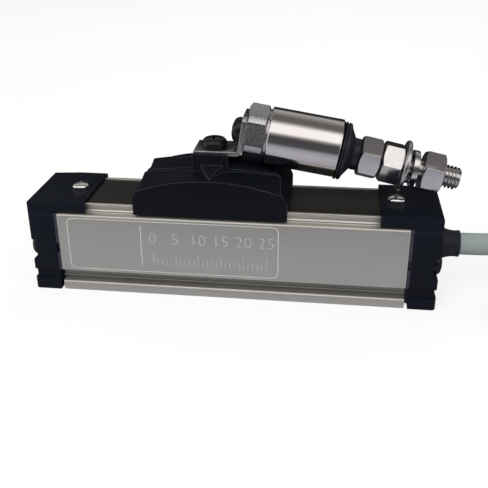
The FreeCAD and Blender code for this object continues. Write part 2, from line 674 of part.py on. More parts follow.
def carriage_outer():
    """Moulded outside: arched front edges and a roof in three slopes under an arched crown."""
    end = CARRIAGE_LENGTH / 2
    front_half = end - CARRIAGE_CORNER * 1.1
    front_low = crest_height(CARRIAGE_CREST_Z, CARRIAGE_CREST_RADIUS, front_half)
    foot = RAIL_TOP_Z + SLIDE_GAP
    shoulder = front_low - 0.5
    sections = []
    for y, top, radius, half in (
            (CARRIAGE_HALF_WIDTH, CARRIAGE_CREST_Z, CARRIAGE_CREST_RADIUS, front_half),
            (ROOF_STEP_Y, ROOF_STEP_Z, ROOF_STEP_RADIUS, ROOF_STEP_HALF),
            (ROOF_TOP_Y, ROOF_TOP_Z, ROOF_TOP_RADIUS, ROOF_TOP_HALF),
            (ROOF_CROWN_Y, ROOF_CROWN_Z, ROOF_CROWN_RADIUS, ROOF_TOP_HALF)):
        sections.append(carriage_layer(y, top, radius, half, shoulder, foot))
    slopes = [Part.makeLoft([a, b], True, True) for a, b in zip(sections, sections[1:])]
    core = Part.Face(sections[-1]).extrude(V(0, -2 * ROOF_CROWN_Y, 0))
    half_body = slopes[0].fuse(slopes[1:])
    return half_body.fuse([mirrored_y(half_body), core])


def roof_groove():
    """Fine groove just inside the step edge of the roof."""
    low = crest_height(ROOF_STEP_Z, ROOF_STEP_RADIUS, ROOF_STEP_HALF) - ROOF_GROOVE + 0.25
    points = [(CARRIAGE_X - ROOF_STEP_HALF, low), (CARRIAGE_X + ROOF_STEP_HALF, low),
              (CARRIAGE_X + ROOF_STEP_HALF, ROOF_TOP_Z + 1),
              (CARRIAGE_X - ROOF_STEP_HALF, ROOF_TOP_Z + 1)]
    mid = (CARRIAGE_X, ROOF_STEP_Z - ROOF_GROOVE + 0.25)
    outline = side_profile(ROOF_STEP_Y - 0.7, points, 0, mid)
    return both_sides(Part.Face(outline).extrude(V(0, 0.6, 0)))


def pointer():
    """Wedge that slopes down from the bracket seat to a tip over the scale."""
    root_y = -PLATEAU_HALF_WIDTH + 0.4
    tip_y = -PLATEAU_HALF_WIDTH - POINTER_REACH
    slope = (ROOF_STEP_Z - CARRIAGE_CREST_Z) / (CARRIAGE_HALF_WIDTH - ROOF_STEP_Y)
    tip_z = CARRIAGE_CREST_Z + (CARRIAGE_HALF_WIDTH + tip_y) * slope + POINTER_RISE
    half = POINTER_WIDTH / 2
    corners = [V(CARRIAGE_X - half, root_y, POINTER_ROOT_Z),
               V(CARRIAGE_X + half, root_y, POINTER_ROOT_Z),
               V(CARRIAGE_X, tip_y, tip_z)]
    face = Part.Face(Part.makePolygon(corners + corners[:1]))
    return face.extrude(V(0, 0, CARRIAGE_CREST_Z - POINTER_ROOT_Z))


def carriage():
    """Carriage moulding: skirts outside the rails, hollow underside, bracket seat, insert boss."""
    end = CARRIAGE_LENGTH / 2
    left = CARRIAGE_X - end
    right = CARRIAGE_X + end
    skirt = box(left, right, CARRIAGE_HALF_WIDTH - SKIRT_THICK, CARRIAGE_HALF_WIDTH,
                CARRIAGE_FOOT_Z, RAIL_TOP_Z + 1)
    plateau = box(CARRIAGE_X - PLATEAU_LEFT, CARRIAGE_X + PLATEAU_RIGHT, -PLATEAU_HALF_WIDTH,
                  PLATEAU_HALF_WIDTH, CARRIAGE_CREST_Z - 2, PLATEAU_Z + PLATEAU_RIM)
    solid = carriage_outer().fuse([skirt, mirrored_y(skirt), plateau])
    solid = solid.cut(roof_groove().cut(plateau)).fuse(pointer())
    seat = box(CARRIAGE_X - PLATEAU_LEFT - 1, CARRIAGE_X + PLATEAU_RIGHT + 1,
               -BRACKET_WIDTH / 2 - RUN_FIT, BRACKET_WIDTH / 2 + RUN_FIT,
               PLATEAU_Z, PLATEAU_Z + 2)
    solid = solid.cut(seat)
    inner_half = end - CARRIAGE_WALL
    side = CARRIAGE_HALF_WIDTH - CARRIAGE_WALL
    crest = ROOF_STEP_Z - CARRIAGE_SKIN
    low = crest_height(crest, ROOF_TOP_RADIUS, inner_half) - 0.6
    points = [(CARRIAGE_X - inner_half, RAIL_TOP_Z - 1), (CARRIAGE_X + inner_half, RAIL_TOP_Z - 1),
              (CARRIAGE_X + inner_half, low), (CARRIAGE_X - inner_half, low)]
    hollow = Part.Face(side_profile(-side, points, 2, (CARRIAGE_X, crest)))
    hollow = hollow.extrude(V(0, 2 * side, 0))
    boss = rod_z(INSERT_RADIUS + CARRIAGE_SKIN, PLATEAU_Z - INSERT_LENGTH - 1, PLATEAU_Z,
                 CARRIAGE_X)
    ribs = [box(CARRIAGE_X + k * inner_half * 0.55 - 0.6, CARRIAGE_X + k * inner_half * 0.55 + 0.6,
                -side, side, RAIL_TOP_Z + 2.6, PLATEAU_Z - 3) for k in (-1, 1)]
    solid = solid.cut(hollow.cut(boss.fuse(ribs)))
    solid = solid.cut(rod_z(INSERT_RADIUS, PLATEAU_Z - INSERT_LENGTH, PLATEAU_Z + 1, CARRIAGE_X))
    clear_foot = PLATEAU_Z - BRACKET_SCREW_LENGTH - 0.5
    solid = solid.cut(rod_z(M3_RADIUS + SCREW_GAP, clear_foot, PLATEAU_Z, CARRIAGE_X))
    for place in pad_places():
        solid = solid.cut(glide_pad(place))
    solid = solid.cut(carrier_edges(RUN_FIT))
    under_joint = rod_x(HOUSING_RADIUS + JOINT_GAP, -JOINT_GAP, HOUSING_END)
    return solid.cut(placed(under_joint, JOINT_PLACE)).removeSplitter()


def pad_places():
    """Middles of the four glide pads as (x, y)."""
    reach = CARRIAGE_LENGTH / 2 - PAD_SIZE_X / 2 - 1.2
    rail_y = RAIL_HALF_WIDTH - RIM_WIDTH / 2
    return [(CARRIAGE_X + sx * reach, sy * rail_y) for sx in (-1, 1) for sy in (-1, 1)]


def glide_pad(place):
    """One low-friction pad between the carriage and a rail top."""
    x, y = place
    half = RIM_WIDTH / 2
    low = RAIL_TOP_Z + RUN_FIT
    return box(x - PAD_SIZE_X / 2, x + PAD_SIZE_X / 2, y - half, y + half, low,
               low + PAD_SIZE_Z)


def glide_pads():
    """The four pads, which stand a little proud of the carriage underside."""
    return Part.makeCompound([glide_pad(place) for place in pad_places()])


def carrier_edges(grow):
    """Upturned edges of the wiper carrier, or their slots when grown by a clearance."""
    half = CARRIER_LENGTH / 2
    outer = CHANNEL_HALF - SLIDE_GAP
    inner = outer - CARRIER_EDGE_THICK
    foot = BAND_LOW_Z - FLAT_GAP - CARRIER_THICK
    edge = box(CARRIAGE_X - half - grow, CARRIAGE_X + half + grow, inner - grow, outer + grow,
               foot, CARRIER_EDGE_TOP_Z + grow)
    return both_sides(edge)


def wiper_carrier():
    """Bent steel carrier that passes under the band and through the slot."""
    half = CARRIER_LENGTH / 2
    top = BAND_LOW_Z - FLAT_GAP
    outer = CHANNEL_HALF - SLIDE_GAP
    plate = box(CARRIAGE_X - half, CARRIAGE_X + half, -outer, outer, top - CARRIER_THICK, top)
    stem = box(CARRIAGE_X - half, CARRIAGE_X + half, -CARRIER_STEM_WIDTH / 2,
               CARRIER_STEM_WIDTH / 2, CAVITY_TOP_Z - 1.6, top - CARRIER_THICK)
    return plate.fuse([carrier_edges(0.0), stem]).removeSplitter()


def wiper_block():
    """Moulded block under the slot that carries the brushes between the screw ports."""
    half = WIPER_LENGTH / 2
    top = CAVITY_TOP_Z - SLIDE_GAP
    head = box(CARRIAGE_X - half, CARRIAGE_X + half, -WIPER_HALF_WIDTH, WIPER_HALF_WIDTH,
               top - WIPER_TOP_DEPTH, top)
    stem = box(CARRIAGE_X - half + 2, CARRIAGE_X + half - 2, -WIPER_STEM_HALF, WIPER_STEM_HALF,
               WIPER_FOOT_Z, top - WIPER_TOP_DEPTH)
    socket = box(CARRIAGE_X - CARRIER_LENGTH / 2, CARRIAGE_X + CARRIER_LENGTH / 2,
                 -CARRIER_STEM_WIDTH / 2, CARRIER_STEM_WIDTH / 2, CAVITY_TOP_Z - 1.6, top + 1)
    return head.fuse(stem).cut(socket).removeSplitter()


def wiper_brushes():
    """Spring bronze brushes: one foot under the block and a finger for each track."""
    left = CARRIAGE_X - WIPER_LENGTH / 2 + 2
    foot = box(left, left + BRUSH_FOOT, -WIPER_STEM_HALF, WIPER_STEM_HALF,
               WIPER_FOOT_Z - BRUSH_THICK, WIPER_FOOT_Z)
    start = left + BRUSH_FOOT
    tip = TRACK_TOP_Z + RUN_FIT
    rise = WIPER_FOOT_Z - BRUSH_THICK - tip
    fingers = []
    for y in (-TRACK_Y, TRACK_Y):
        outline = [(start - 0.5, tip + rise), (start + BRUSH_LENGTH, tip),
                   (start + BRUSH_LENGTH + 0.4, tip), (start + BRUSH_LENGTH + 0.4, tip + 0.2),
                   (start + BRUSH_LENGTH, tip + BRUSH_THICK),
                   (start - 0.5, tip + rise + BRUSH_THICK)]
        half = TRACK_WIDTH / 2 - BRUSH_INSET
        fingers.append(prism_y(outline, y - half, y + half))
    return foot.fuse(fingers).removeSplitter()


def bracket_insert():
    """Knurled brass insert moulded into the carriage under the bracket."""
    body = rod_z(INSERT_RADIUS, PLATEAU_Z - INSERT_LENGTH, PLATEAU_Z, CARRIAGE_X)
    return body.cut(rod_z(M3_RADIUS + RUN_FIT, PLATEAU_Z - INSERT_LENGTH - 1, PLATEAU_Z + 1,
                          CARRIAGE_X))


def bracket():
    """Bent steel angle: foot on the carriage, leg square to the joint axis."""
    lean = math.radians(JOINT_LEAN)
    up = (math.sin(lean), math.cos(lean))

    def on_leg(z, back):
        """Point of the leg at a height, set back from its right face."""
        x = JOINT_X + (z - JOINT_Z) * up[0] / up[1] - back / up[1]
        return (x, z)

    foot, top = BRACKET_FOOT_Z, BRACKET_HEAD_Z
    head = on_leg(BRACKET_TOP_Z, 0)
    head_back = (head[0] - BRACKET_THICK * up[1], head[1] + BRACKET_THICK * up[0])
    outline = [(BRACKET_LEFT_X, foot), on_leg(foot, 0), head, head_back,
               on_leg(top, BRACKET_THICK), (BRACKET_LEFT_X, top)]
    half = BRACKET_WIDTH / 2
    sheet = prism_y(outline, -half, half)
    outer = on_leg(foot, 0)
    inner = on_leg(top, BRACKET_THICK)
    for corner, radius in ((outer, BRACKET_BEND), (inner, BRACKET_BEND - BRACKET_THICK)):
        edges = [e for e in sheet.Edges if abs(e.Length - BRACKET_WIDTH) < 0.01
                 and abs(e.CenterOfMass.x - corner[0]) < 0.01
                 and abs(e.CenterOfMass.z - corner[1]) < 0.01]
        sheet = sheet.makeFillet(radius, edges)
    tops = [e for e in sheet.Edges if abs(e.Length - BRACKET_THICK) < 0.01
            and e.CenterOfMass.z > BRACKET_TOP_Z - 0.5]
    sheet = sheet.makeChamfer(BRACKET_CHAMFER, tops)
    sheet = sheet.cut(rod_z(M3_RADIUS + SCREW_GAP, foot - 1, top + 1, CARRIAGE_X))
    hole = placed(rod_x(M3_RADIUS + SCREW_GAP, -BRACKET_THICK - 1, 1), JOINT_PLACE)
    return sheet.cut(hole)


def m3_screw(length):
    """M3 pan head screw of a given length."""
    return pan_head_screw(M3_RADIUS, length, M3_HEAD_RADIUS, M3_HEAD_HEIGHT)


def joint_screw():
    """Screw through the bracket leg into the plug of the joint."""
    seat = FreeCAD.Placement(V(-BRACKET_THICK, 0, 0), FreeCAD.Rotation())
    return placed(placed(m3_screw(JOINT_SCREW_LENGTH), seat), JOINT_PLACE)


def joint_plug():
    """Hexagon plug that closes the joint housing and takes the bracket screw."""
    plug = hexagon(PLUG_ACROSS_FLATS, 0, PLUG_HEX_LENGTH, PLUG_TURN, HOUSING_RADIUS + 0.03)
    plug = plug.fuse([rod_x(GROOVE_RADIUS, PLUG_HEX_LENGTH, HOUSING_START),
                      rod_x(PLUG_SPIGOT_RADIUS, HOUSING_START,
                            HOUSING_START + PLUG_SPIGOT_LENGTH)])
    plug = plug.cut(rod_x(M3_RADIUS + RUN_FIT, -1, JOINT_SCREW_LENGTH - BRACKET_THICK + 1.5))
    return placed(plug, JOINT_PLACE)


def end_sphere():
    """Radius of the ball-shaped end of the joint housing, concentric with the ball."""
    return math.hypot(HOUSING_END - BALL_STATION, HOUSING_RADIUS)


def mouth_cone():
    """Cone through the front wall that leaves room for the stud to swing."""
    return Part.makeCone(MOUTH_NEAR_RADIUS, MOUTH_FAR_RADIUS, end_sphere() - FRONT_WALL + 0.1,
                         V(FRONT_WALL - RUN_FIT, 0, 0), X_AXIS)


def joint_housing():
    """Turned cylinder with a bore for the seats and a ball-shaped end under the dust boot."""
    start = HOUSING_START - BALL_STATION
    reach = end_sphere()
    body = rod_x(HOUSING_RADIUS, start, reach).common(
        Part.makeSphere(reach).fuse(rod_x(HOUSING_RADIUS + 1, start, HOUSING_END - BALL_STATION)))
    body = body.cut(rod_x(BORE_RADIUS + RUN_FIT, start, FRONT_WALL)).cut(mouth_cone())
    edges = [e for e in body.Edges if abs(e.CenterOfMass.x - start) < 0.01
             and abs(e.BoundBox.ZLength - 2 * HOUSING_RADIUS) < 0.01]
    return placed(body.makeChamfer(EDGE_BREAK, edges), SEAT_PLACE)


def seat_spring():
    """Coned disc spring that presses the rear seat against the ball."""
    back = HOUSING_START + PLUG_SPIGOT_LENGTH - BALL_STATION + RUN_FIT
    front = -REAR_SEAT_LENGTH - RUN_FIT
    outer = BORE_RADIUS - 0.35
    inner = outer * 0.45
    cone = turned([(back, inner), (back + SPRING_THICK, inner), (front, outer),
                   (front - SPRING_THICK, outer)])
    return placed(cone, SEAT_PLACE)


def rear_seat():
    """Rear half of the ball seat."""
    body = rod_x(BORE_RADIUS, -REAR_SEAT_LENGTH, -SLIDE_GAP).cut(Part.makeSphere(SEAT_SPHERE))
    return placed(body, SEAT_PLACE)


def front_seat():
    """Front half of the ball seat, against the front wall of the housing."""
    body = rod_x(BORE_RADIUS, SLIDE_GAP, FRONT_WALL).cut(Part.makeSphere(SEAT_SPHERE))
    return placed(body, SEAT_PLACE)


def ball_liner():
    """Thin bearing liner between the ball and its seats."""
    zone = ball_zone(LINER_OUTER, LINER_INNER, LINER_BACK, LINER_FRONT)
    return placed(zone, SEAT_PLACE)


def boot_outline():
    """Half outline of the dust boot as (station, radius), without its dished face."""
    front = BOOT_FLANGE_END
    lip = 0.35
    middle = front - 0.75
    return [(3.0, NECK_RADIUS + RUN_FIT), (THREAD_START - RUN_FIT, NECK_RADIUS + RUN_FIT),
            (THREAD_START - RUN_FIT, BOOT_NECK_RADIUS - 0.2),
            (THREAD_START - 0.3, BOOT_NECK_RADIUS), (front + 1.35, BOOT_NECK_RADIUS),
            (front + 0.25, BOOT_FLANGE_RADIUS - 1.05),
            (front, BOOT_FLANGE_RADIUS - lip), (front - 0.2, BOOT_FLANGE_RADIUS - 0.1),
            (middle + 0.1, BOOT_FLANGE_RADIUS - 0.1), (middle, BOOT_FLANGE_RADIUS - lip),
            (middle - 0.15, BOOT_FLANGE_RADIUS - lip), (middle - 0.25, BOOT_FLANGE_RADIUS),
            (3.0, BOOT_FLANGE_RADIUS)]


def dust_boot():
    """Moulded boot: a dished flange that rides on the ball-shaped end, and a sleeve."""
    boot = turned(boot_outline()).cut(Part.makeSphere(end_sphere() + BOOT_GAP))
    return placed(boot, STUD_PLACE)


def ball_stud():
    """Ball, neck and threaded rod: pitch radius under the nuts, full radius at the free end."""
    ball = Part.makeSphere(BALL_RADIUS)
    neck = rod_x(NECK_RADIUS, 0, THREAD_START)
    rod = turned([(THREAD_START, 0), (THREAD_START, THREAD_SEAT_RADIUS),
                  (THREAD_FREE_START, THREAD_SEAT_RADIUS), (THREAD_FREE_START, THREAD_RADIUS),
                  (THREAD_END - THREAD_TIP, THREAD_RADIUS),
                  (THREAD_END, THREAD_RADIUS - THREAD_TIP), (THREAD_END, 0)])
    return placed(ball.fuse([neck, rod]).removeSplitter(), STUD_PLACE)


def nut(start, turn):
    """Hexagon nut on the stud."""
    corner = NUT_ACROSS_FLATS / math.sqrt(3)
    body = hexagon(NUT_ACROSS_FLATS, start, start + NUT_THICK, turn, corner)
    body = body.cut(rod_x(THREAD_SEAT_RADIUS + RUN_FIT, start - 1, start + NUT_THICK + 1))
    return placed(body, STUD_PLACE)


def flat_washer():
    """Plain washer beside the outer lock nut."""
    end = FLAT_WASHER_START + FLAT_WASHER_THICK
    ring = rod_x(FLAT_WASHER_RADIUS, FLAT_WASHER_START, end)
    rims = [e for e in ring.Edges if e.Curve.TypeId == "Part::GeomCircle"]
    ring = ring.makeChamfer(EDGE_BREAK, rims)
    ring = ring.cut(rod_x(THREAD_RADIUS + SCREW_GAP, FLAT_WASHER_START - 1, end + 1))
    return placed(ring, STUD_PLACE)


def spring_washer():
    """Split spring washer: a square ring cut at the top, one end sprung aside."""
    half = SPRING_WASHER_SECTION / 2
    middle = SPRING_WASHER_RADIUS - half
    gap = 12.0
    turn = FULL_TURN - gap
    helix = Part.makeLongHelix(SPRING_WASHER_RISE * FULL_TURN / turn, SPRING_WASHER_RISE, middle)
    corners = [V(middle - half, 0, -half), V(middle + half, 0, -half),
               V(middle + half, 0, half), V(middle - half, 0, half)]
    section = Part.makePolygon(corners + corners[:1])
    coil = Part.Wire(helix.Edges).makePipeShell([section], True, True)
    lay = FreeCAD.Placement(V(SPRING_WASHER_START + half, 0, 0), FreeCAD.Rotation(Y_AXIS, 90))
    spin = FreeCAD.Placement(ORIGIN, FreeCAD.Rotation(X_AXIS, gap / 2))
    return placed(placed(placed(coil, lay), spin), STUD_PLACE)


def cable_gland():
    """Moulded grommet: dome cleared round the screw heads, stem and a collar inside."""
    out = CAP_OUTER_X + GLAND_LENGTH
    dome = Part.Arc(V(CAP_OUTER_X + 0.6, 0, GLAND_RADIUS),
                    V(out - 0.9, 0, GLAND_RADIUS - 1.0),
                    V(out, 0, CABLE_RADIUS + 0.5)).toShape()
    stem = CAP_INNER_X - RUN_FIT
    back = stem - GLAND_COLLAR_THICK
    bore = CABLE_RADIUS + RUN_FIT
    points = [V(out, 0, CABLE_RADIUS + 0.5), V(out, 0, bore), V(back, 0, bore),
              V(back, 0, GLAND_STEM_RADIUS + GLAND_COLLAR),
              V(stem, 0, GLAND_STEM_RADIUS + GLAND_COLLAR), V(stem, 0, GLAND_STEM_RADIUS),
              V(CAP_OUTER_X, 0, GLAND_STEM_RADIUS), V(CAP_OUTER_X, 0, GLAND_RADIUS),
              V(CAP_OUTER_X + 0.6, 0, GLAND_RADIUS)]
    lines = [Part.makeLine(a, b) for a, b in zip(points, points[1:])]
    body = Part.Face(Part.Wire(lines + [dome])).revolve(ORIGIN, X_AXIS, FULL_TURN)
    body.translate(V(0, 0, CABLE_Z))
    shank = rod_x(M3_RADIUS + SCREW_GAP, back - 1, out, END_SCREW_Y, END_SCREW_Z)
    head = rod_x(M3_HEAD_RADIUS + SCREW_GAP, CAP_OUTER_X - 1, out, END_SCREW_Y, END_SCREW_Z)
    return body.cut(both_sides(shank.fuse(head)))


def cable_inner():
    """Stretch of the cable jacket held in the gland, from its stripped end to the dome."""
    return rod_x(CABLE_RADIUS, CABLE_INNER_X, CAP_OUTER_X + GLAND_LENGTH, 0, CABLE_Z)


# Route of the free cable from the gland to the top layer of its hank
CABLE_ROUTE = [
    V(CAP_OUTER_X + GLAND_LENGTH, 0, CABLE_Z),
    V(56.0, 0, CABLE_Z),
    V(62.0, 1.0, CABLE_Z + 0.3),
]
# Route of the free end from the lowest inner run into the middle of the hank
TAIL_ROUTE = [
    V(HANK_NEAR_X + TAIL_FROM, TAIL_RUN_Y, HANK_LOW_Z),
    V(HANK_NEAR_X + TAIL_TURN_OUT, TAIL_RUN_Y, HANK_LOW_Z),
    V(HANK_NEAR_X + TAIL_TURN_BACK, TAIL_RUN_Y + TAIL_SHIFT, HANK_LOW_Z),
    V(HANK_NEAR_X + TAIL_TO, TAIL_RUN_Y + TAIL_SHIFT, HANK_LOW_Z),
]


def cable_tube(route, label):
    """Cable along a route whose corners are rounded as widely as its legs allow."""
    path = rounded_route(route, 0)
    tube = pipe(path, CABLE_RADIUS)
    print(label, "volume", round(tube.Volume, 1), "section times length",
          round(math.pi * CABLE_RADIUS ** 2 * path.Length, 1))
    return tube


def cable_lead():
    """Free cable from the gland to the hank."""
    return cable_tube(CABLE_ROUTE, "cable lead")


def racetrack(radius, z0, z1):
    """Long plate with round ends, the outline of one lap of the hank."""
    far_x = HANK_NEAR_X + HANK_RUN
    solid = rod_z(radius, z0, z1, HANK_NEAR_X, HANK_Y).fuse(rod_z(radius, z0, z1, far_x, HANK_Y))
    plate = box(HANK_NEAR_X, far_x, HANK_Y - radius, HANK_Y + radius, z0, z1)
    return solid.fuse(plate).removeSplitter()


def cable_hank():
    """Outer shape of the put-away cable: the laps as one ring, the run-in and the free end."""
    ring = racetrack(HANK_OUTER + CABLE_RADIUS, HANK_LIFT, HANK_TOP_Z)
    ring = ring.cut(racetrack(HANK_RADIUS - CABLE_RADIUS, HANK_LIFT - 1, HANK_TOP_Z + 1))
    level = [e for e in ring.Edges if e.BoundBox.ZLength < 0.01]
    ring = ring.makeChamfer(CABLE_RADIUS * 0.6, level)
    run_in = Part.makeCylinder(CABLE_RADIUS, 9.0, CABLE_ROUTE[-1],
                               CABLE_ROUTE[-1] - CABLE_ROUTE[-2])
    return ring.fuse([run_in, cable_tube(TAIL_ROUTE, "cable tail")])


def cable_cores():
    """The three stripped cores at the free end of the cable."""
    end = TAIL_ROUTE[-1]
    cores = []
    for k in range(3):
        angle = math.radians(90 + 120 * k)
        y = end.y + CORE_SPREAD * math.cos(angle)
        z = end.z + CORE_SPREAD * math.sin(angle)
        cores.append(rod_x(CORE_RADIUS, end.x - CORE_LENGTH, end.x, y, z))
    return Part.makeCompound(cores)


def tie_loop(y0, y1, z0, z1, half, grow):
    """Block round one bundle of laps with its long edges cut off."""
    middle = HANK_NEAR_X + HANK_RUN * TIE_SHARE
    block = box(middle - half, middle + half, y0 - grow, y1 + grow, z0 - grow, z1 + grow)
    long_edges = [e for e in block.Edges if e.BoundBox.XLength > half]
    return block.makeChamfer(CABLE_RADIUS * 0.6, long_edges)


def cable_ties():
    """Two ties, one round the laps on each side of the hank."""
    half = TIE_WIDTH / 2
    ties = []
    for side in (-1, 1):
        near = HANK_Y + side * (HANK_RADIUS - CABLE_RADIUS)
        far = HANK_Y + side * (HANK_OUTER + CABLE_RADIUS)
        reach = (min(near, far), max(near, far), HANK_LIFT, HANK_TOP_Z)
        outer = tie_loop(*reach, half, TIE_GAP + TIE_THICK)
        ties.append(outer.cut(tie_loop(*reach, half + 1, TIE_GAP)))
    return Part.makeCompound(ties)


NODES = {
    "profile_housing": profile_housing,
    "end_cap_left": end_cap_left,
    "end_cap_right": end_cap_right,
    "gasket_left": lambda: mirrored_x(gasket_right()),
    "gasket_right": gasket_right,
    "end_screws_left": lambda: end_screws(-1),
    "end_screws_right": lambda: end_screws(1),
    "band_screw_left": lambda: band_screw(-1),
    "band_screw_right": lambda: band_screw(1),
    "cover_band": cover_band,
    "element_board": element_board,
    "resistive_track": resistive_track,
    "collector_track": lambda: track(TRACK_Y),
    "core_wires": core_wires,
    "cable_gland": cable_gland,
    "cable_inner": cable_inner,
    "cable_lead": cable_lead,
    "cable_hank": cable_hank,
    "cable_cores": cable_cores,
    "cable_ties": cable_ties,
    "carriage": carriage,
    "glide_pads": glide_pads,
    "wiper_carrier": wiper_carrier,
    "wiper_block": wiper_block,
    "wiper_brushes": wiper_brushes,
    "bracket_insert": bracket_insert,
    "bracket": bracket,
    "bracket_screw": lambda: down_screw(m3_screw(BRACKET_SCREW_LENGTH), CARRIAGE_X,
                                        BRACKET_HEAD_Z),
    "joint_screw": joint_screw,
    "joint_plug": joint_plug,
    "joint_housing": joint_housing,
    "seat_spring": seat_spring,
    "rear_seat": rear_seat,
    "front_seat": front_seat,
    "ball_liner": ball_liner,
    "dust_boot": dust_boot,
    "ball_stud": ball_stud,
    "lock_nut_inner": lambda: nut(NUT_INNER_START, NUT_TURN),
    "lock_nut_outer": lambda: nut(NUT_OUTER_START, NUT_TURN + NUT_STAGGER),
    "flat_washer": flat_washer,
    "spring_washer": spring_washer,
    "end_nut": lambda: nut(NUT_END_START, NUT_TURN),
}


os.makedirs("parts", exist_ok=True)
for name, build in NODES.items():
    shape = build()
    print(name, "solids", len(shape.Solids), "valid", shape.isValid(),
          "volume", round(shape.Volume, 2))
    shape.exportStep("parts/" + name + ".step")
print("ball centre", [round(c, 3) for c in BALL_CENTRE])
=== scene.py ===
"""Dresses a linear displacement sensor: finishes, cable, screw thread, engraving and studio.

Every length in the classes is in millimetres. Meshes are written in metres, in the frame of the
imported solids: +X towards the cable, +Z up, -Y the engraved front.
"""

import json
import logging
import math
from collections.abc import Sequence
from dataclasses import dataclass
from enum import Enum
from typing import Any

import bmesh
import bpy
from mathutils import Matrix, Vector

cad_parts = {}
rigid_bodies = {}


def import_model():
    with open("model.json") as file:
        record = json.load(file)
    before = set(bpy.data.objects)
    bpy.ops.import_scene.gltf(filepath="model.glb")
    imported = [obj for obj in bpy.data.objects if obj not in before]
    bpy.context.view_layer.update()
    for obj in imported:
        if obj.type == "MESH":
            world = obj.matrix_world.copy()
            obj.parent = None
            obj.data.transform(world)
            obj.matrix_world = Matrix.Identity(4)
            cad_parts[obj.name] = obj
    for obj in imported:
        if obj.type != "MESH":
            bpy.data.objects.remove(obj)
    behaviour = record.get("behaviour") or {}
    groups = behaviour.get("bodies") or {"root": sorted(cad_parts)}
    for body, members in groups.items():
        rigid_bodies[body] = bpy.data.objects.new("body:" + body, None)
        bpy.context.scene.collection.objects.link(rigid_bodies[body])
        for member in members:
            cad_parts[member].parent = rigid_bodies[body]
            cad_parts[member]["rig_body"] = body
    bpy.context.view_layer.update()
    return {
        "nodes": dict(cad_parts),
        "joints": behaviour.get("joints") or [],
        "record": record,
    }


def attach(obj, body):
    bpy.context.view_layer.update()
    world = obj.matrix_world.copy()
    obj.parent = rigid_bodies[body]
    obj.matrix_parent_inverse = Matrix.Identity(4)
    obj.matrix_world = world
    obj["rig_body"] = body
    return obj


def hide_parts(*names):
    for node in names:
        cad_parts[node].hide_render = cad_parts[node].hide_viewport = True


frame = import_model()

MM = 0.001
WELD = 2e-6
SMOOTH_ANGLE = math.radians(34)
FLAT_ANGLE = math.radians(0.6)
# Face attribute that marks bevel faces, where a highlight is painted.
EDGE_HIGHLIGHT = "edge"
LOG = logging.getLogger("sensor")

Colour = tuple[float, float, float]
Point = tuple[float, float, float]


def metres(*values: float) -> Vector:
    """A point or size given in millimetres, in metres."""
    return Vector(values) * MM


class Term:
    """One output of a node, usable in arithmetic that adds Math nodes to its tree."""

    def __init__(self, graph: "Graph", node: bpy.types.Node, output: int | str = 0) -> None:
        """Wraps one output socket.

        Args:
            graph: The graph that owns the node.
            node: The node.
            output: Index or name of its output.
        """
        self.graph = graph
        self.node = node
        self.socket = node.outputs[output]

    def out(self, output: int | str) -> "Term":
        """Another output of the same node."""
        return Term(self.graph, self.node, output)

    def maths(self, operation: str, *others: "Term | float") -> "Term":
        """Any operation of a Math node with this term first."""
        sockets = dict(enumerate((self, *others)))
        return self.graph.node("ShaderNodeMath", {"operation": operation}, sockets)

    def after(self, operation: str, first: "Term | float") -> "Term":
        """A two-sided operation with this term second."""
        sockets = {0: first, 1: self}
        return self.graph.node("ShaderNodeMath", {"operation": operation}, sockets)

    def __add__(self, other: "Term | float") -> "Term":
        """Sum."""
        return self.maths("ADD", other)

    def __radd__(self, other: float) -> "Term":
        """Sum with a number first."""
        return self.after("ADD", other)

    def __sub__(self, other: "Term | float") -> "Term":
        """Difference."""
        return self.maths("SUBTRACT", other)

    def __rsub__(self, other: float) -> "Term":
        """Difference with a number first."""
        return self.after("SUBTRACT", other)

    def __mul__(self, other: "Term | float") -> "Term":
        """Product."""
        return self.maths("MULTIPLY", other)

    def __rmul__(self, other: float) -> "Term":
        """Product with a number first."""
        return self.after("MULTIPLY", other)

    def __truediv__(self, other: "Term | float") -> "Term":
        """Quotient."""
        return self.maths("DIVIDE", other)

    def clamp(self) -> "Term":
        """The term held between 0 and 1."""
        return self.maths("MAXIMUM", 0.0).maths("MINIMUM", 1.0)


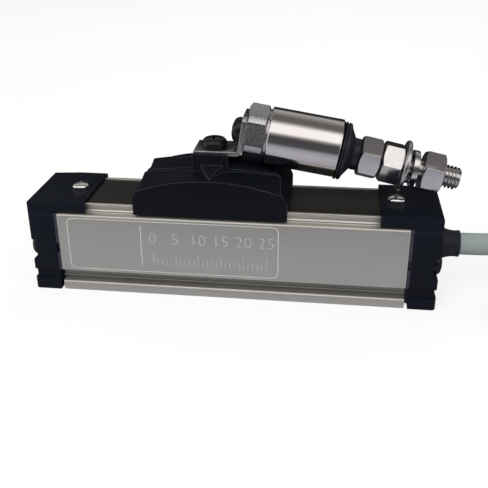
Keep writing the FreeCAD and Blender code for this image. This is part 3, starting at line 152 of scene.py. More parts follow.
class Graph:
    """A shader or geometry node tree that is written as plain expressions."""

    def __init__(self, tree: bpy.types.NodeTree) -> None:
        """Takes over a tree.

        Args:
            tree: The tree that nodes are added to.
        """
        self.tree = tree

    def node(self, kind: str, settings: dict[str, Any] | None = None,
             sockets: dict[int | str, Any] | None = None) -> Term:
        """Adds one node.

        Args:
            kind: The node's type.
            settings: Properties set before its sockets, with "stops" for a colour ramp.
            sockets: Values or terms for its inputs, by name or index.

        Returns:
            The node's first output.
        """
        made = self.tree.nodes.new(kind)
        for name, value in (settings or {}).items():
            if name == "stops":
                self.set_stops(made.color_ramp, value)
            else:
                setattr(made, name, value)
        for name, value in (sockets or {}).items():
            self.feed(made.inputs[name], value)
        return Term(self, made) if made.outputs else None

    def feed(self, socket: bpy.types.NodeSocket, value: Any) -> None:
        """Links a term to a socket or sets its value.

        Args:
            socket: The input socket.
            value: A term, or a plain value of the socket's kind.
        """
        if isinstance(value, Term):
            self.tree.links.new(value.socket, socket)
        else:
            socket.default_value = value

    @staticmethod
    def set_stops(ramp: bpy.types.ColorRamp, stops: Sequence[tuple[float, Colour]]) -> None:
        """Sets the stops of a colour ramp.

        Args:
            ramp: The ramp.
            stops: Place from 0 to 1 and colour of each stop, in order.
        """
        while len(ramp.elements) < len(stops):
            ramp.elements.new(1.0)
        for element, (position, colour) in zip(ramp.elements, stops):
            element.position = position
            element.color = (*colour, 1.0)

    def mix(self, factor: Term | float, low: Any, high: Any) -> Term:
        """A colour between two colours."""
        made = self.node("ShaderNodeMix", {"data_type": "RGBA"}, {0: factor, 6: low, 7: high})
        return made.out(2)

    def place(self, scale: Point, turn: Point = (0, 0, 0)) -> Term:
        """Object coordinates in millimetres times a scale for each axis, after a turn.

        Args:
            scale: Scale for each axis, in repeats per millimetre.
            turn: Turn of the pattern's own axes, in radians.

        Returns:
            The place as a vector.
        """
        here = self.node("ShaderNodeTexCoord").out("Object")
        turned = self.node("ShaderNodeMapping", {"vector_type": "TEXTURE"},
                           {"Vector": here, "Rotation": turn})
        return self.node("ShaderNodeMapping", {},
                         {"Vector": turned, "Scale": tuple(s / MM for s in scale)})

    def noise(self, where: Term, detail: float = 3.0, rough: float = 0.55) -> Term:
        """Noise at a place, about 0 to 1."""
        return self.node("ShaderNodeTexNoise", {},
                         {"Vector": where, "Scale": 1.0, "Detail": detail, "Roughness": rough})

    def bump(self, height: Term, depth: float) -> Term:
        """A bump of a depth in millimetres."""
        return self.node("ShaderNodeBump", {},
                         {"Height": height, "Strength": 1.0, "Distance": depth * MM})


def shade(colour: Colour, factor: float) -> tuple[float, float, float, float]:
    """A colour made darker or lighter, with its alpha."""
    return (colour[0] * factor, colour[1] * factor, colour[2] * factor, 1.0)


class Lay(Enum):
    """Which way the fine lines of a finish run."""

    ALONG_BODY = (0.004, 5.0, 5.0)
    ROUND_AXIS = (7.0, 0.25, 0.25)
    NONE = (3.0, 3.0, 3.0)


@dataclass(frozen=True)
class Finish:
    """A finish made from a base colour, cloudy variation, fine lines and a fine bump, with an
    optional painted edge highlight and painted groove shade.
    """

    name: str
    colour: Colour
    rough: float
    metal: float = 0.0
    specular: float = 0.5
    lay: Lay = Lay.NONE
    lay_turn: Point = (0.0, 0.0, 0.0)
    cloud_size: float = 4.0
    cloud_depth: float = 0.12
    line_depth: float = 0.1
    grain_size: float = 0.25
    grain_depth: float = 0.004
    rough_spread: float = 0.08
    coat: float = 0.0
    # Painted highlight: colour painted on bevel faces in place of light caught on rounded edges,
    # spread by cloud noise.
    edge: Colour | None = None
    edge_cover: float = 0.4
    # Painted shade: how much darker the clamp grooves are drawn, and where they lie.
    groove_shade: float = 0.0
    groove_low: float = 2.32
    groove_high: float = 4.88
    groove_depth: float = 9.6
    coat_rough: float = 0.12

    def material(self) -> bpy.types.Material:
        """Builds the material once and gives it back by name after that.

        Returns:
            The material.
        """
        label = self.name + "_finish"
        if label in bpy.data.materials:
            return bpy.data.materials[label]
        made = bpy.data.materials.new(label)
        made.use_nodes = True
        made.node_tree.nodes.clear()
        graph = Graph(made.node_tree)
        cloud = graph.noise(graph.place((1 / self.cloud_size,) * 3))
        lines = graph.noise(graph.place(self.lay.value, self.lay_turn), 4.0, 0.7)
        grain = graph.noise(graph.place((1 / self.grain_size,) * 3), 2.0, 0.5)
        tone = (cloud - 0.5) * (2 * self.cloud_depth) + (lines - 0.5) * (2 * self.line_depth)
        level = (tone + 0.5).clamp()
        colour = graph.mix(level, shade(self.colour, 0.5), shade(self.colour, 1.5))
        # Painted highlight: bevel faces are mixed towards the lighter edge colour.
        if self.edge:
            painted_highlight_mark = graph.node("ShaderNodeAttribute", {"attribute_name": EDGE_HIGHLIGHT}).out("Fac")
            cover = (cloud + self.edge_cover).clamp()
            colour = graph.mix(painted_highlight_mark * cover, colour, (*self.edge, 1.0))
        # Painted shade: the clamp grooves are darkened in place of the shade inside them.
        if self.groove_shade:
            colour = graph.mix(self.groove_mask(graph), colour,
                               shade(self.colour, 1 - self.groove_shade))
        rough = (tone * self.rough_spread + self.rough).clamp()
        height = grain + lines * (self.line_depth * 2)
        surface = graph.node("ShaderNodeBsdfPrincipled", {}, {
            "Base Color": colour, "Roughness": rough, "Metallic": self.metal,
            "Specular IOR Level": self.specular, "Coat Weight": self.coat,
            "Coat Roughness": self.coat_rough, "Normal": graph.bump(height, self.grain_depth)})
        graph.node("ShaderNodeOutputMaterial", {}, {"Surface": surface})
        return made

    def groove_mask(self, graph: Graph) -> Term:
        """Finds the two clamp grooves of the extrusion, where shade is painted.

        Args:
            graph: The graph of the material.

        Returns:
            1 inside the grooves and 0 elsewhere.
        """
        parts = graph.node("ShaderNodeSeparateXYZ", {}, {"Vector": graph.place((1, 1, 1))})
        inside = parts.out("Y").maths("ABSOLUTE").maths("LESS_THAN", self.groove_depth)
        above = parts.out("Z").maths("GREATER_THAN", self.groove_low)
        return inside * above * parts.out("Z").maths("LESS_THAN", self.groove_high)


@dataclass(frozen=True)
class Finishes:
    """All finishes of the sensor, with the turn that the ball joint's lathe marks follow."""

    joint_turn: Point

    def turned(self) -> Finish:
        """Bright turned steel whose fine rings follow the joint's own axis."""
        return Finish("turned_steel", (0.68, 0.66, 0.65), 0.13, 1.0, lay=Lay.ROUND_AXIS,
                      lay_turn=self.joint_turn, cloud_depth=0.05, line_depth=0.14,
                      grain_size=0.12, grain_depth=0.0012, rough_spread=0.25)

    # The edge colours below are painted highlights on the bevel faces.
    plug = Finish("plug_steel", (0.5, 0.5, 0.51), 0.28, 1.0, cloud_size=0.45,
                  cloud_depth=0.45, grain_size=0.28, grain_depth=0.03, rough_spread=0.3,
                  edge=(0.85, 0.85, 0.85))
    # The profile's groove_shade is painted shade in its clamp grooves.
    profile = Finish("anodised_profile", (0.5, 0.49, 0.455), 0.42, 0.85, lay=Lay.ALONG_BODY,
                     cloud_size=14, cloud_depth=0.03, line_depth=0.03, grain_size=0.18,
                     grain_depth=0.0015, edge=(0.75, 0.73, 0.66), groove_shade=0.45)
    cap = Finish("cap_plastic", (0.0046, 0.0058, 0.0105), 0.5, specular=0.1, grain_size=0.2,
                 grain_depth=0.006, cloud_depth=0.08, edge=(0.055, 0.06, 0.075))
    carriage = Finish("carriage_plastic", (0.003, 0.004, 0.0068), 0.46, specular=0.1,
                      grain_size=0.16, grain_depth=0.005, cloud_depth=0.08,
                      edge=(0.14, 0.145, 0.155))
    gasket = Finish("gasket_rubber", (0.03, 0.03, 0.045), 0.6, specular=0.2,
                    grain_size=0.3, grain_depth=0.01, cloud_size=2)
    gland = Finish("gland_rubber", (0.012, 0.014, 0.021), 0.5, specular=0.2,
                   grain_size=0.35, grain_depth=0.008)
    black_steel = Finish("black_steel", (0.014, 0.014, 0.017), 0.22, 0.6, specular=0.5,
                         grain_size=0.2, grain_depth=0.004, cloud_size=1.2,
                         edge=(0.12, 0.12, 0.13))
    plated = Finish("plated_steel", (0.63, 0.62, 0.62), 0.19, 1.0, cloud_size=1.5,
                    cloud_depth=0.1, grain_size=0.35, grain_depth=0.003, rough_spread=0.3)
    chrome = Finish("bright_screw", (0.8, 0.8, 0.8), 0.1, 1.0, cloud_size=1.0,
                    cloud_depth=0.04, grain_size=0.5, grain_depth=0.001)
    zinc = Finish("galvanised_steel", (0.36, 0.36, 0.36), 0.3, 1.0, cloud_size=0.5,
                  cloud_depth=0.4, grain_size=0.22, grain_depth=0.012, rough_spread=0.3,
                  edge=(0.75, 0.75, 0.74))
    washer = Finish("washer_steel", (0.52, 0.52, 0.53), 0.3, 1.0, cloud_size=0.4,
                    cloud_depth=0.4, grain_size=0.25, grain_depth=0.015, rough_spread=0.4)
    band = Finish("band_steel", (0.02, 0.0185, 0.016), 0.4, 0.3, specular=0.3,
                  lay=Lay.ALONG_BODY, cloud_size=10, cloud_depth=0.12, line_depth=0.08,
                  grain_size=0.3, grain_depth=0.002)
    board = Finish("board", (0.1, 0.2, 0.09), 0.4, coat=0.3, cloud_size=0.6)
    ink = Finish("track_ink", (0.012, 0.012, 0.012), 0.45, lay=Lay.ALONG_BODY)
    jacket = Finish("jacket", (0.235, 0.272, 0.268), 0.5, specular=0.35, cloud_size=6,
                    cloud_depth=0.05, grain_size=0.5, grain_depth=0.006)
    tie = Finish("tie_nylon", (0.02, 0.02, 0.022), 0.35, specular=0.4)
    acetal = Finish("pad_plastic", (0.7, 0.69, 0.64), 0.35, specular=0.4)
    liner = Finish("liner_plastic", (0.8, 0.8, 0.78), 0.45, specular=0.3)
    spring = Finish("spring_steel", (0.5, 0.5, 0.5), 0.25, 1.0)
    bronze = Finish("brush_bronze", (0.62, 0.42, 0.2), 0.25, 1.0)
    brass = Finish("insert_brass", (0.66, 0.5, 0.22), 0.25, 1.0)
    boot = Finish("boot_rubber", (0.009, 0.009, 0.014), 0.42, specular=0.3, grain_size=0.3,
                  grain_depth=0.006)
    engraving = Finish("engraved_white", (0.47, 0.47, 0.44), 0.5, specular=0.3,
                       cloud_size=0.5, cloud_depth=0.12)
    numerals = Finish("engraved_grey", (0.36, 0.36, 0.345), 0.5, specular=0.3,
                      cloud_size=0.4, cloud_depth=0.3)
    core_red = Finish("core_red", (0.5, 0.04, 0.03), 0.4)
    core_white = Finish("core_white", (0.75, 0.75, 0.72), 0.4)
    core_black = Finish("core_black", (0.02, 0.02, 0.02), 0.4)
    tin = Finish("tinned_strands", (0.7, 0.7, 0.68), 0.22, 1.0)


class Workshop:
    """Makes meshes and hands them to the frame."""

    @staticmethod
    def as_mesh(piece: bpy.types.Object) -> bpy.types.Mesh:
        """The plain mesh of an object with its modifiers worked in."""
        bpy.context.view_layer.update()
        graph = bpy.context.evaluated_depsgraph_get()
        return bpy.data.meshes.new_from_object(piece.evaluated_get(graph))

    @staticmethod
    def add(name: str, mesh: bpy.types.Mesh, finish: Finish, body: str, slot: str,
            replaced: Sequence[str] = ()) -> bpy.types.Object:
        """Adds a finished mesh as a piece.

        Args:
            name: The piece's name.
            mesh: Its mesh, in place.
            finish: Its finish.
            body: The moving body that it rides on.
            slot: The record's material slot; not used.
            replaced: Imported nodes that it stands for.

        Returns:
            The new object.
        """
        mesh.materials.clear()
        mesh.materials.append(finish.material())
        for face in mesh.polygons:
            face.use_smooth = True
        mesh.set_sharp_from_angle(angle=SMOOTH_ANGLE)
        piece = bpy.data.objects.new(name, mesh)
        bpy.context.scene.collection.objects.link(piece)
        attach(piece, body)
        if replaced:
            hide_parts(*replaced)
        LOG.info("%s: %d faces on %s", name, len(mesh.polygons), body)
        return piece

    @staticmethod
    def welded(node: str) -> bpy.types.Mesh:
        """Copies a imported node's mesh, with its corners joined and its flat faces made whole.

        Args:
            node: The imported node.

        Returns:
            The copy.
        """
        work = bmesh.new()
        work.from_mesh(frame["nodes"][node].data)
        bmesh.ops.remove_doubles(work, verts=work.verts, dist=WELD)
        bmesh.ops.dissolve_limit(work, angle_limit=FLAT_ANGLE, verts=work.verts,
                                 edges=work.edges)
        mesh = bpy.data.meshes.new(node + "_welded")
        work.to_mesh(mesh)
        work.free()
        return mesh

    @classmethod
    def softened(cls, node: str, width: float, finish: Finish, name: str = "",
                 segments: int = 2, angle: float = 30.0) -> bpy.types.Object:
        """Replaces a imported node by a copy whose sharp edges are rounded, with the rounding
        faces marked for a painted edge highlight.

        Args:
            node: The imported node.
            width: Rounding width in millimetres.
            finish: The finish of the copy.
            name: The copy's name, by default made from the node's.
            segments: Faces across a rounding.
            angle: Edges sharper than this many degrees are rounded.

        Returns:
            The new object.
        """
        source = frame["nodes"][node]
        blank = bpy.data.objects.new(node + "_blank", cls.welded(node))
        bpy.context.scene.collection.objects.link(blank)
        edge = blank.modifiers.new("edge", "BEVEL")
        edge.width = width * MM
        edge.segments = segments
        edge.limit_method = "ANGLE"
        edge.angle_limit = math.radians(angle)
        edge.use_clamp_overlap = True
        edge.miter_outer = "MITER_ARC"
        # Bevel faces are marked so that the finish paints a highlight on them.
        for _ in range(2):
            blank.data.materials.append(None)
        edge.material = 1
        mesh = cls.as_mesh(blank)
        bpy.data.objects.remove(blank)
        painted_highlight_mark = mesh.attributes.new(EDGE_HIGHLIGHT, "FLOAT", "FACE")
        for spot, face in zip(painted_highlight_mark.data, mesh.polygons):
            spot.value = float(face.material_index)
            face.material_index = 0
        slot = next(s["material_slot"] for s in frame["record"]["subparts"]
                    if s["node"] == node)
        return cls.add(name or node + "_finished", mesh, finish, source["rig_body"], slot,
                       [node])

    @staticmethod
    def dress(node: str, finish: Finish) -> None:
        """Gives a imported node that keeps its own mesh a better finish.

        Args:
            node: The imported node.
            finish: Its finish.
        """
        source = frame["nodes"][node]
        for holder in source.material_slots:
            holder.material = finish.material()
        LOG.info("%s: dressed as %s", node, finish.name)

    @staticmethod
    def lathe(outline: Sequence[tuple[float, float]], steps: int) -> bmesh.types.BMesh:
        """Turns an outline of (station, radius) in millimetres about the X axis.

        Args:
            outline: Points from one end to the other, starting and ending on the axis.
            steps: Faces round the axis.

        Returns:
            The turned shape, in metres.
        """
        work = bmesh.new()
        rings = []
        for station, radius in outline:
            if radius <= 0:
                rings.append([work.verts.new(metres(station, 0, 0))])
                continue
            ring = []
            for k in range(steps):
                angle = math.tau * k / steps
                ring.append(work.verts.new(metres(station, radius * math.cos(angle),
                                                  radius * math.sin(angle))))
            rings.append(ring)
        for near, far in zip(rings, rings[1:]):
            for k in range(steps):
                corners = [near[k % len(near)], near[(k + 1) % len(near)],
                           far[(k + 1) % len(far)], far[k % len(far)]]
                work.faces.new(list(dict.fromkeys(corners)))
        bmesh.ops.recalc_face_normals(work, faces=work.faces)
        return work

    @staticmethod
    def joined(parts: Sequence[bpy.types.Mesh], name: str) -> bpy.types.Mesh:
        """Makes one mesh of several.

        Args:
            parts: The meshes, in place.
            name: The new mesh's name.

        Returns:
            The joined mesh.
        """
        work = bmesh.new()
        for part in parts:
            work.from_mesh(part)
        mesh = bpy.data.meshes.new(name)
        work.to_mesh(mesh)
        work.free()
        return mesh


class Rule:
    """A geometry tree with named sizes, run once to give a plain mesh."""

    def __init__(self, name: str, sizes: dict[str, float]) -> None:
        """Starts a tree.

        Args:
            name: The tree's name.
            sizes: Its named inputs and their values.
        """
        self.tree = bpy.data.node_groups.new(name, "GeometryNodeTree")
        self.tree.interface.new_socket("Geometry", in_out="INPUT",
                                       socket_type="NodeSocketGeometry")
        self.tree.interface.new_socket("Geometry", in_out="OUTPUT",
                                       socket_type="NodeSocketGeometry")
        self.keys = {}
        for label, value in sizes.items():
            whole = isinstance(value, int)
            kind = "NodeSocketInt" if whole else "NodeSocketFloat"
            made = self.tree.interface.new_socket(label, in_out="INPUT", socket_type=kind)
            self.keys[label] = made.identifier
        self.sizes = sizes
        self.graph = Graph(self.tree)
        self.given = self.graph.node("NodeGroupInput")

    def size(self, label: str) -> Term:
        """One named size as a term."""
        return self.given.out(label)

    def run(self, shape: Term, finish: Finish) -> bpy.types.Mesh:
        """Ends the tree and works out its mesh.

        Args:
            shape: The geometry that the tree gives.
            finish: The finish set on it.

        Returns:
            A plain mesh.
        """
        real = self.graph.node("GeometryNodeRealizeInstances", {}, {"Geometry": shape})
        dressed = self.graph.node("GeometryNodeSetMaterial", {},
                                  {"Geometry": real, "Material": finish.material()})
        self.graph.node("NodeGroupOutput", {}, {"Geometry": dressed})
        holder = bpy.data.objects.new(self.tree.name, bpy.data.meshes.new(self.tree.name))
        bpy.context.scene.collection.objects.link(holder)
        use = holder.modifiers.new("rule", "NODES")
        use.node_group = self.tree
        for label, value in self.sizes.items():
            use[self.keys[label]] = value
        mesh = Workshop.as_mesh(holder)
        holder.modifiers.clear()
        bpy.data.objects.remove(holder)
        return mesh


@dataclass(frozen=True)
class Lamp:
    """A soft round lamp: its place and width in millimetres and its power in watts."""

    name: str
    where: Point
    size: float
    power: float


@dataclass
class Studio:
    """Camera, floor, light and the tent that shiny parts mirror."""

    eye: Point = (21.839, -156.122, 84.625)
    azimuth: float = 7.252
    elevation: float = 25.694
    roll: float = -0.265
    focal_pixels: float = 758.085
    frame_pixels: int = 488
    sensor: float = 36.0
    nearest: float = 5.0
    ambient: float = 0.5
    floor_size: float = 3000.0
    floor_glow: float = 0.8
    paper_white: float = 0.9
    tent_radius: float = 620.0
    tent_length: float = 2600.0
    tent_steps: int = 96
    tent_tones: tuple[tuple[float, float], ...] = (
        (-180, 0.02), (-150, 0.04), (-100, 0.28), (-76, 0.07), (-60, 0.5), (-32, 0.58),
        (-14, 0.43), (-4, 0.1), (22, 0.07), (31, 0.3), (40, 1.35), (68, 1.35), (77, 0.6),
        (86, 0.17), (106, 0.15), (120, 0.3), (136, 0.5), (141, 0.5), (147, 0.06),
        (160, 0.02), (180, 0.02))
    warm: Colour = (1.03, 0.985, 0.965)
    lilac: Colour = (0.975, 0.96, 1.05)
    warm_from: float = 30.0
    lamps: tuple[Lamp, ...] = (Lamp("key_lamp", (-170, -330, 430), 320, 1.9),
                               Lamp("fill_lamp", (330, -260, 260), 260, 0.55),
                               Lamp("back_lamp", (60, 340, 380), 300, 0.7))
    lamp_aim: Point = (0.0, 0.0, 15.0)

    def build(self) -> None:
        """Makes the camera first, then the floor, light and tent."""
        self.make_camera()
        self.make_world()
        self.make_floor()
        self.make_tent()
        for lamp in self.lamps:
            self.make_lamp(lamp)
        bpy.context.scene.view_settings.view_transform = "Standard"

    def make_camera(self) -> None:
        """Places the camera that matches the photograph's view."""
        data = bpy.data.cameras.new("camera")
        data.sensor_width = self.sensor
        data.lens = self.focal_pixels / self.frame_pixels * self.sensor
        data.clip_start = self.nearest * MM
        camera = bpy.data.objects.new("camera", data)
        bpy.context.scene.collection.objects.link(camera)
        turn = (Matrix.Rotation(math.radians(self.azimuth), 4, "Z")
                @ Matrix.Rotation(math.radians(90 - self.elevation), 4, "X")
                @ Matrix.Rotation(math.radians(self.roll), 4, "Z"))
        camera.matrix_world = Matrix.Translation(metres(*self.eye)) @ turn
        bpy.context.scene.camera = camera

    def make_world(self) -> None:
        """White for the camera and for mirrors, plain ambient light for the rest."""
        world = bpy.data.worlds.new("studio")
        bpy.context.scene.world = world
        world.use_nodes = True
        world.node_tree.nodes.clear()
        graph = Graph(world.node_tree)
        rays = graph.node("ShaderNodeLightPath")
        seen = rays.out("Is Camera Ray") + rays.out("Is Glossy Ray")
        seen = (seen + rays.out("Is Transmission Ray")).clamp()
        strength = seen * (1 - self.ambient) + self.ambient
        sky = graph.node("ShaderNodeBackground", {},
                         {"Color": (1, 1, 1, 1), "Strength": strength})
        graph.node("ShaderNodeOutputWorld", {}, {"Surface": sky})

    def make_floor(self) -> None:
        """A white floor that keeps a soft shadow."""
        half = self.floor_size * MM / 2
        mesh = bpy.data.meshes.new("floor")
        corners = [(-half, -half, -WELD), (half, -half, -WELD), (half, half, -WELD),
                   (-half, half, -WELD)]
        mesh.from_pydata(corners, [], [(0, 1, 2, 3)])
        made = bpy.data.materials.new("floor_white")
        made.use_nodes = True
        made.node_tree.nodes.clear()
        graph = Graph(made.node_tree)
        paper = graph.node("ShaderNodeBsdfDiffuse", {}, {"Color": (*(self.paper_white,) * 3, 1)})
        glow = graph.node("ShaderNodeEmission", {}, {"Color": (1, 1, 1, 1), "Strength": 1.0})
        rays = graph.node("ShaderNodeLightPath")
        share = rays.out("Is Camera Ray") * self.floor_glow
        surface = graph.node("ShaderNodeMixShader", {}, {0: share, 1: paper, 2: glow})
        graph.node("ShaderNodeOutputMaterial", {}, {"Surface": surface})
        mesh.materials.append(made)
        floor = bpy.data.objects.new("floor", mesh)
        bpy.context.scene.collection.objects.link(floor)
        floor.visible_glossy = False

    def make_tent(self) -> None:
        """A long tube of grey tones round the set, seen only in polished metal."""
        steps = self.tent_steps
        half = self.tent_length * MM / 2
        reach = self.tent_radius * MM
        verts, faces = [], []
        for k in range(steps):
            angle = math.tau * k / steps
            y, z = -reach * math.cos(angle), reach * math.sin(angle)
            verts += [(-half, y, z), (half, y, z)]
            a, b = 2 * k, 2 * ((k + 1) % steps)
            faces.append((a, a + 1, b + 1, b))
        mesh = bpy.data.meshes.new("tent")
        mesh.from_pydata(verts, [], faces)
        made = bpy.data.materials.new("tent_tones")
        made.use_nodes = True
        made.node_tree.nodes.clear()
        graph = Graph(made.node_tree)
        here = graph.node("ShaderNodeTexCoord").out("Object")
        parts = graph.node("ShaderNodeSeparateXYZ", {}, {"Vector": here})
        flipped = 0 - parts.out("Y")
        angle = parts.out("Z").maths("ARCTAN2", flipped)
        turn = angle / math.tau + 0.5
        top = max(tone for _, tone in self.tent_tones)
        stops = []
        for degrees, tone in self.tent_tones:
            tint = self.lilac if degrees < self.warm_from else self.warm
            stops.append(((degrees + 180) / 360, tuple(tone / top * part for part in tint)))
        ramp = graph.node("ShaderNodeValToRGB", {"stops": stops}, {"Fac": turn})
        glow = graph.node("ShaderNodeEmission", {}, {"Color": ramp, "Strength": top})
        graph.node("ShaderNodeOutputMaterial", {}, {"Surface": glow})
        mesh.materials.append(made)
        tent = bpy.data.objects.new("tent", mesh)
        bpy.context.scene.collection.objects.link(tent)
        tent.visible_camera = False
        tent.visible_diffuse = False
        tent.visible_shadow = False
        tent.visible_transmission = False

    def make_lamp(self, lamp: Lamp) -> None:
        """Adds a soft lamp aimed at the sensor.

        Args:
            lamp: Its place, width and power.
        """
        data = bpy.data.lights.new(lamp.name, "AREA")
        data.shape = "DISK"
        data.size = lamp.size * MM
        data.energy = lamp.power
        made = bpy.data.objects.new(lamp.name, data)
        bpy.context.scene.collection.objects.link(made)
        made.location = metres(*lamp.where)
        aim = metres(*self.lamp_aim) - made.location
        made.rotation_mode = "QUATERNION"
        made.rotation_quaternion = aim.to_track_quat("-Z", "Y")
        made.visible_camera = False
        made.visible_glossy = False


@dataclass
class Cable:
    """The free cable: lead, hank of laps, stripped cores and ties."""

    diameter: float = 5.0
    length: float = 1000.0
    lead: tuple[Point, ...] = ((49.9, 0, 11.7), (56.0, 0, 11.7), (62.0, 1.0, 12.0))
    joining: tuple[Point, ...] = ((70.0, 3.8, 13.15),)
    near_x: float = 82.5
    run: float = 48.0
    middle_y: float = -12.5
    inner: float = 15.0
    pitch: float = 5.1
    low: float = 2.95
    steps: int = 8
    spread: float = 1.012
    run_share: float = 0.2
    round_steps: int = 5
    path_steps: int = 6
    tail: tuple[Point, ...] = ((110.0, -27.5, 2.95), (98.0, -20.5, 2.95), (87.0, -20.5, 2.95))
    core_offset: float = 0.95
    core_radius: float = 0.75
    core_length: float = 6.0
    core_sunk: float = 0.6
    core_steps: int = 20
    strand_length: float = 2.5
    strand_radius: float = 0.38
    strand_end: float = 0.36
    strand_tip: float = 0.2
    strand_taper: float = 0.15
    strand_sunk: float = 0.3
    tie_edge: float = 0.3

    def run_points(self, radius: float, side: int, drop: float, level: float) -> list[Point]:
        """Points inside one straight run, level at both ends with a drop between.

        Args:
            radius: Radius of the lap that the run belongs to.
            side: 1 for the run at the back, -1 for the one in front.
            drop: How far the cable comes down along the run.
            level: Height at the start.

        Returns:
            The two points in order of travel.
        """
        y = self.middle_y + side * radius
        near, far = self.run_share, 1 - self.run_share
        share = (near, far) if side > 0 else (far, near)
        return [(self.near_x + self.run * share[0], y, level),
                (self.near_x + self.run * share[1], y, level - drop)]

    def loop_points(self, first: float, last: float, side: int, level: float) -> list[Point]:
        """Points round one end of the hank while the radius changes from first to last.

        Args:
            first: Radius at the start of the end loop.
            last: Radius at its end.
            side: 1 for the far end, -1 for the end near the housing.
            level: Height.

        Returns:
            The points in order of travel.
        """
        centre = self.near_x + (self.run if side > 0 else 0)
        points = []
        for k in range(self.steps + 1):
            turned = k / self.steps
            eased = min(1.0, turned * 2)
            radius = first + (last - first) * eased * eased * (3 - 2 * eased)
            grown = radius if k in (0, self.steps) else radius * self.spread
            angle = math.pi * (0.5 - turned) if side > 0 else math.pi * (1.5 - turned)
            points.append((centre + grown * math.cos(angle),
                           self.middle_y + grown * math.sin(angle), level))
        return points

    def route(self) -> list[Point]:
        """All control points of the cable from the gland to its free end.

        Returns:
            The points in order of travel, in millimetres.
        """
        inner, outer = self.inner, self.inner + self.pitch
        top, mid, low = self.low + 2 * self.pitch, self.low + self.pitch, self.low
        points = [*self.lead, *self.joining, (self.near_x, self.middle_y + outer, top)]
        points += self.run_points(outer, 1, 0, top)
        points += self.loop_points(outer, outer, 1, top) + self.run_points(outer, -1, 0, top)
        points += self.loop_points(outer, inner, -1, top) + self.run_points(inner, 1, 0, top)
        points += self.loop_points(inner, inner, 1, top)
        points += self.run_points(inner, -1, self.pitch, top)
        points += self.loop_points(inner, inner, -1, mid) + self.run_points(inner, 1, 0, mid)
        points += self.loop_points(inner, outer, 1, mid) + self.run_points(outer, -1, 0, mid)
        points += self.loop_points(outer, outer, -1, mid)
        points += self.run_points(outer, 1, self.pitch, mid)
        points += self.loop_points(outer, outer, 1, low) + self.run_points(outer, -1, 0, low)
        points += self.loop_points(outer, inner, -1, low) + self.run_points(inner, 1, 0, low)
        points += self.loop_points(inner, inner, 1, low)
        return points + list(self.tail)

    def build(self, finishes: Finishes) -> None:
        """Makes the jacket, the cores and the ties.

        Args:
            finishes: The sensor's finishes.
        """
        data = bpy.data.curves.new("cable_jacket", "CURVE")
        data.dimensions = "3D"
        data.bevel_depth = self.diameter * MM / 2
        data.bevel_resolution = self.round_steps
        data.resolution_u = self.path_steps
        data.use_fill_caps = True
        points = self.route()
        spline = data.splines.new("NURBS")
        spline.points.add(len(points) - 1)
        for spot, point in zip(spline.points, points):
            spot.co = (*metres(*point), 1.0)
        spline.order_u = 3
        spline.use_endpoint_u = True
        data.materials.append(finishes.jacket.material())
        jacket = bpy.data.objects.new("cable_jacket", data)
        bpy.context.scene.collection.objects.link(jacket)
        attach(jacket, "housing")
        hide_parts("cable_lead", "cable_hank")
        cores = self.build_cores(finishes)
        ties = Workshop.softened("cable_ties", self.tie_edge, finishes.tie, "cable_straps")

    def build_cores(self, finishes: Finishes) -> list[bpy.types.Object]:
        """Makes the three stripped cores with their tinned ends.

        Args:
            finishes: The sensor's finishes.

        Returns:
            The new pieces.
        """
        end = self.tail[-1]
        colours = (finishes.core_red, finishes.core_white, finishes.core_black)
        pieces, tinned = [], []
        for k, finish in enumerate(colours):
            angle = math.radians(90 + 120 * k)
            place = Matrix.Translation(metres(
                end[0], end[1] + self.core_offset * math.cos(angle),
                end[2] + self.core_offset * math.sin(angle)))
            sleeve = ((-self.core_length, 0), (-self.core_length, self.core_radius),
                      (self.core_sunk, self.core_radius), (self.core_sunk, 0))
            tip = self.core_length + self.strand_length
            strand = ((-tip, 0), (-tip, self.strand_tip),
                      (-tip + self.strand_taper, self.strand_end),
                      (-self.core_length, self.strand_radius),
                      (-self.core_length + self.strand_sunk, 0))
            for outline, kind in ((sleeve, "sleeve"), (strand, "strand")):
                work = Workshop.lathe(outline, self.core_steps)
                work.transform(place)
                mesh = bpy.data.meshes.new(f"core_{kind}_{k}")
                work.to_mesh(mesh)
                work.free()
                if kind == "sleeve":
                    pieces.append(Workshop.add(f"core_sleeve_{k + 1}", mesh, finish,
                                               "housing", "core_plastic"))
                else:
                    tinned.append(mesh)
        ends = Workshop.add("core_ends", Workshop.joined(tinned, "core_ends"), finishes.tin,
                            "housing", "core_plastic")
        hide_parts("cable_cores")
        return [*pieces, ends]


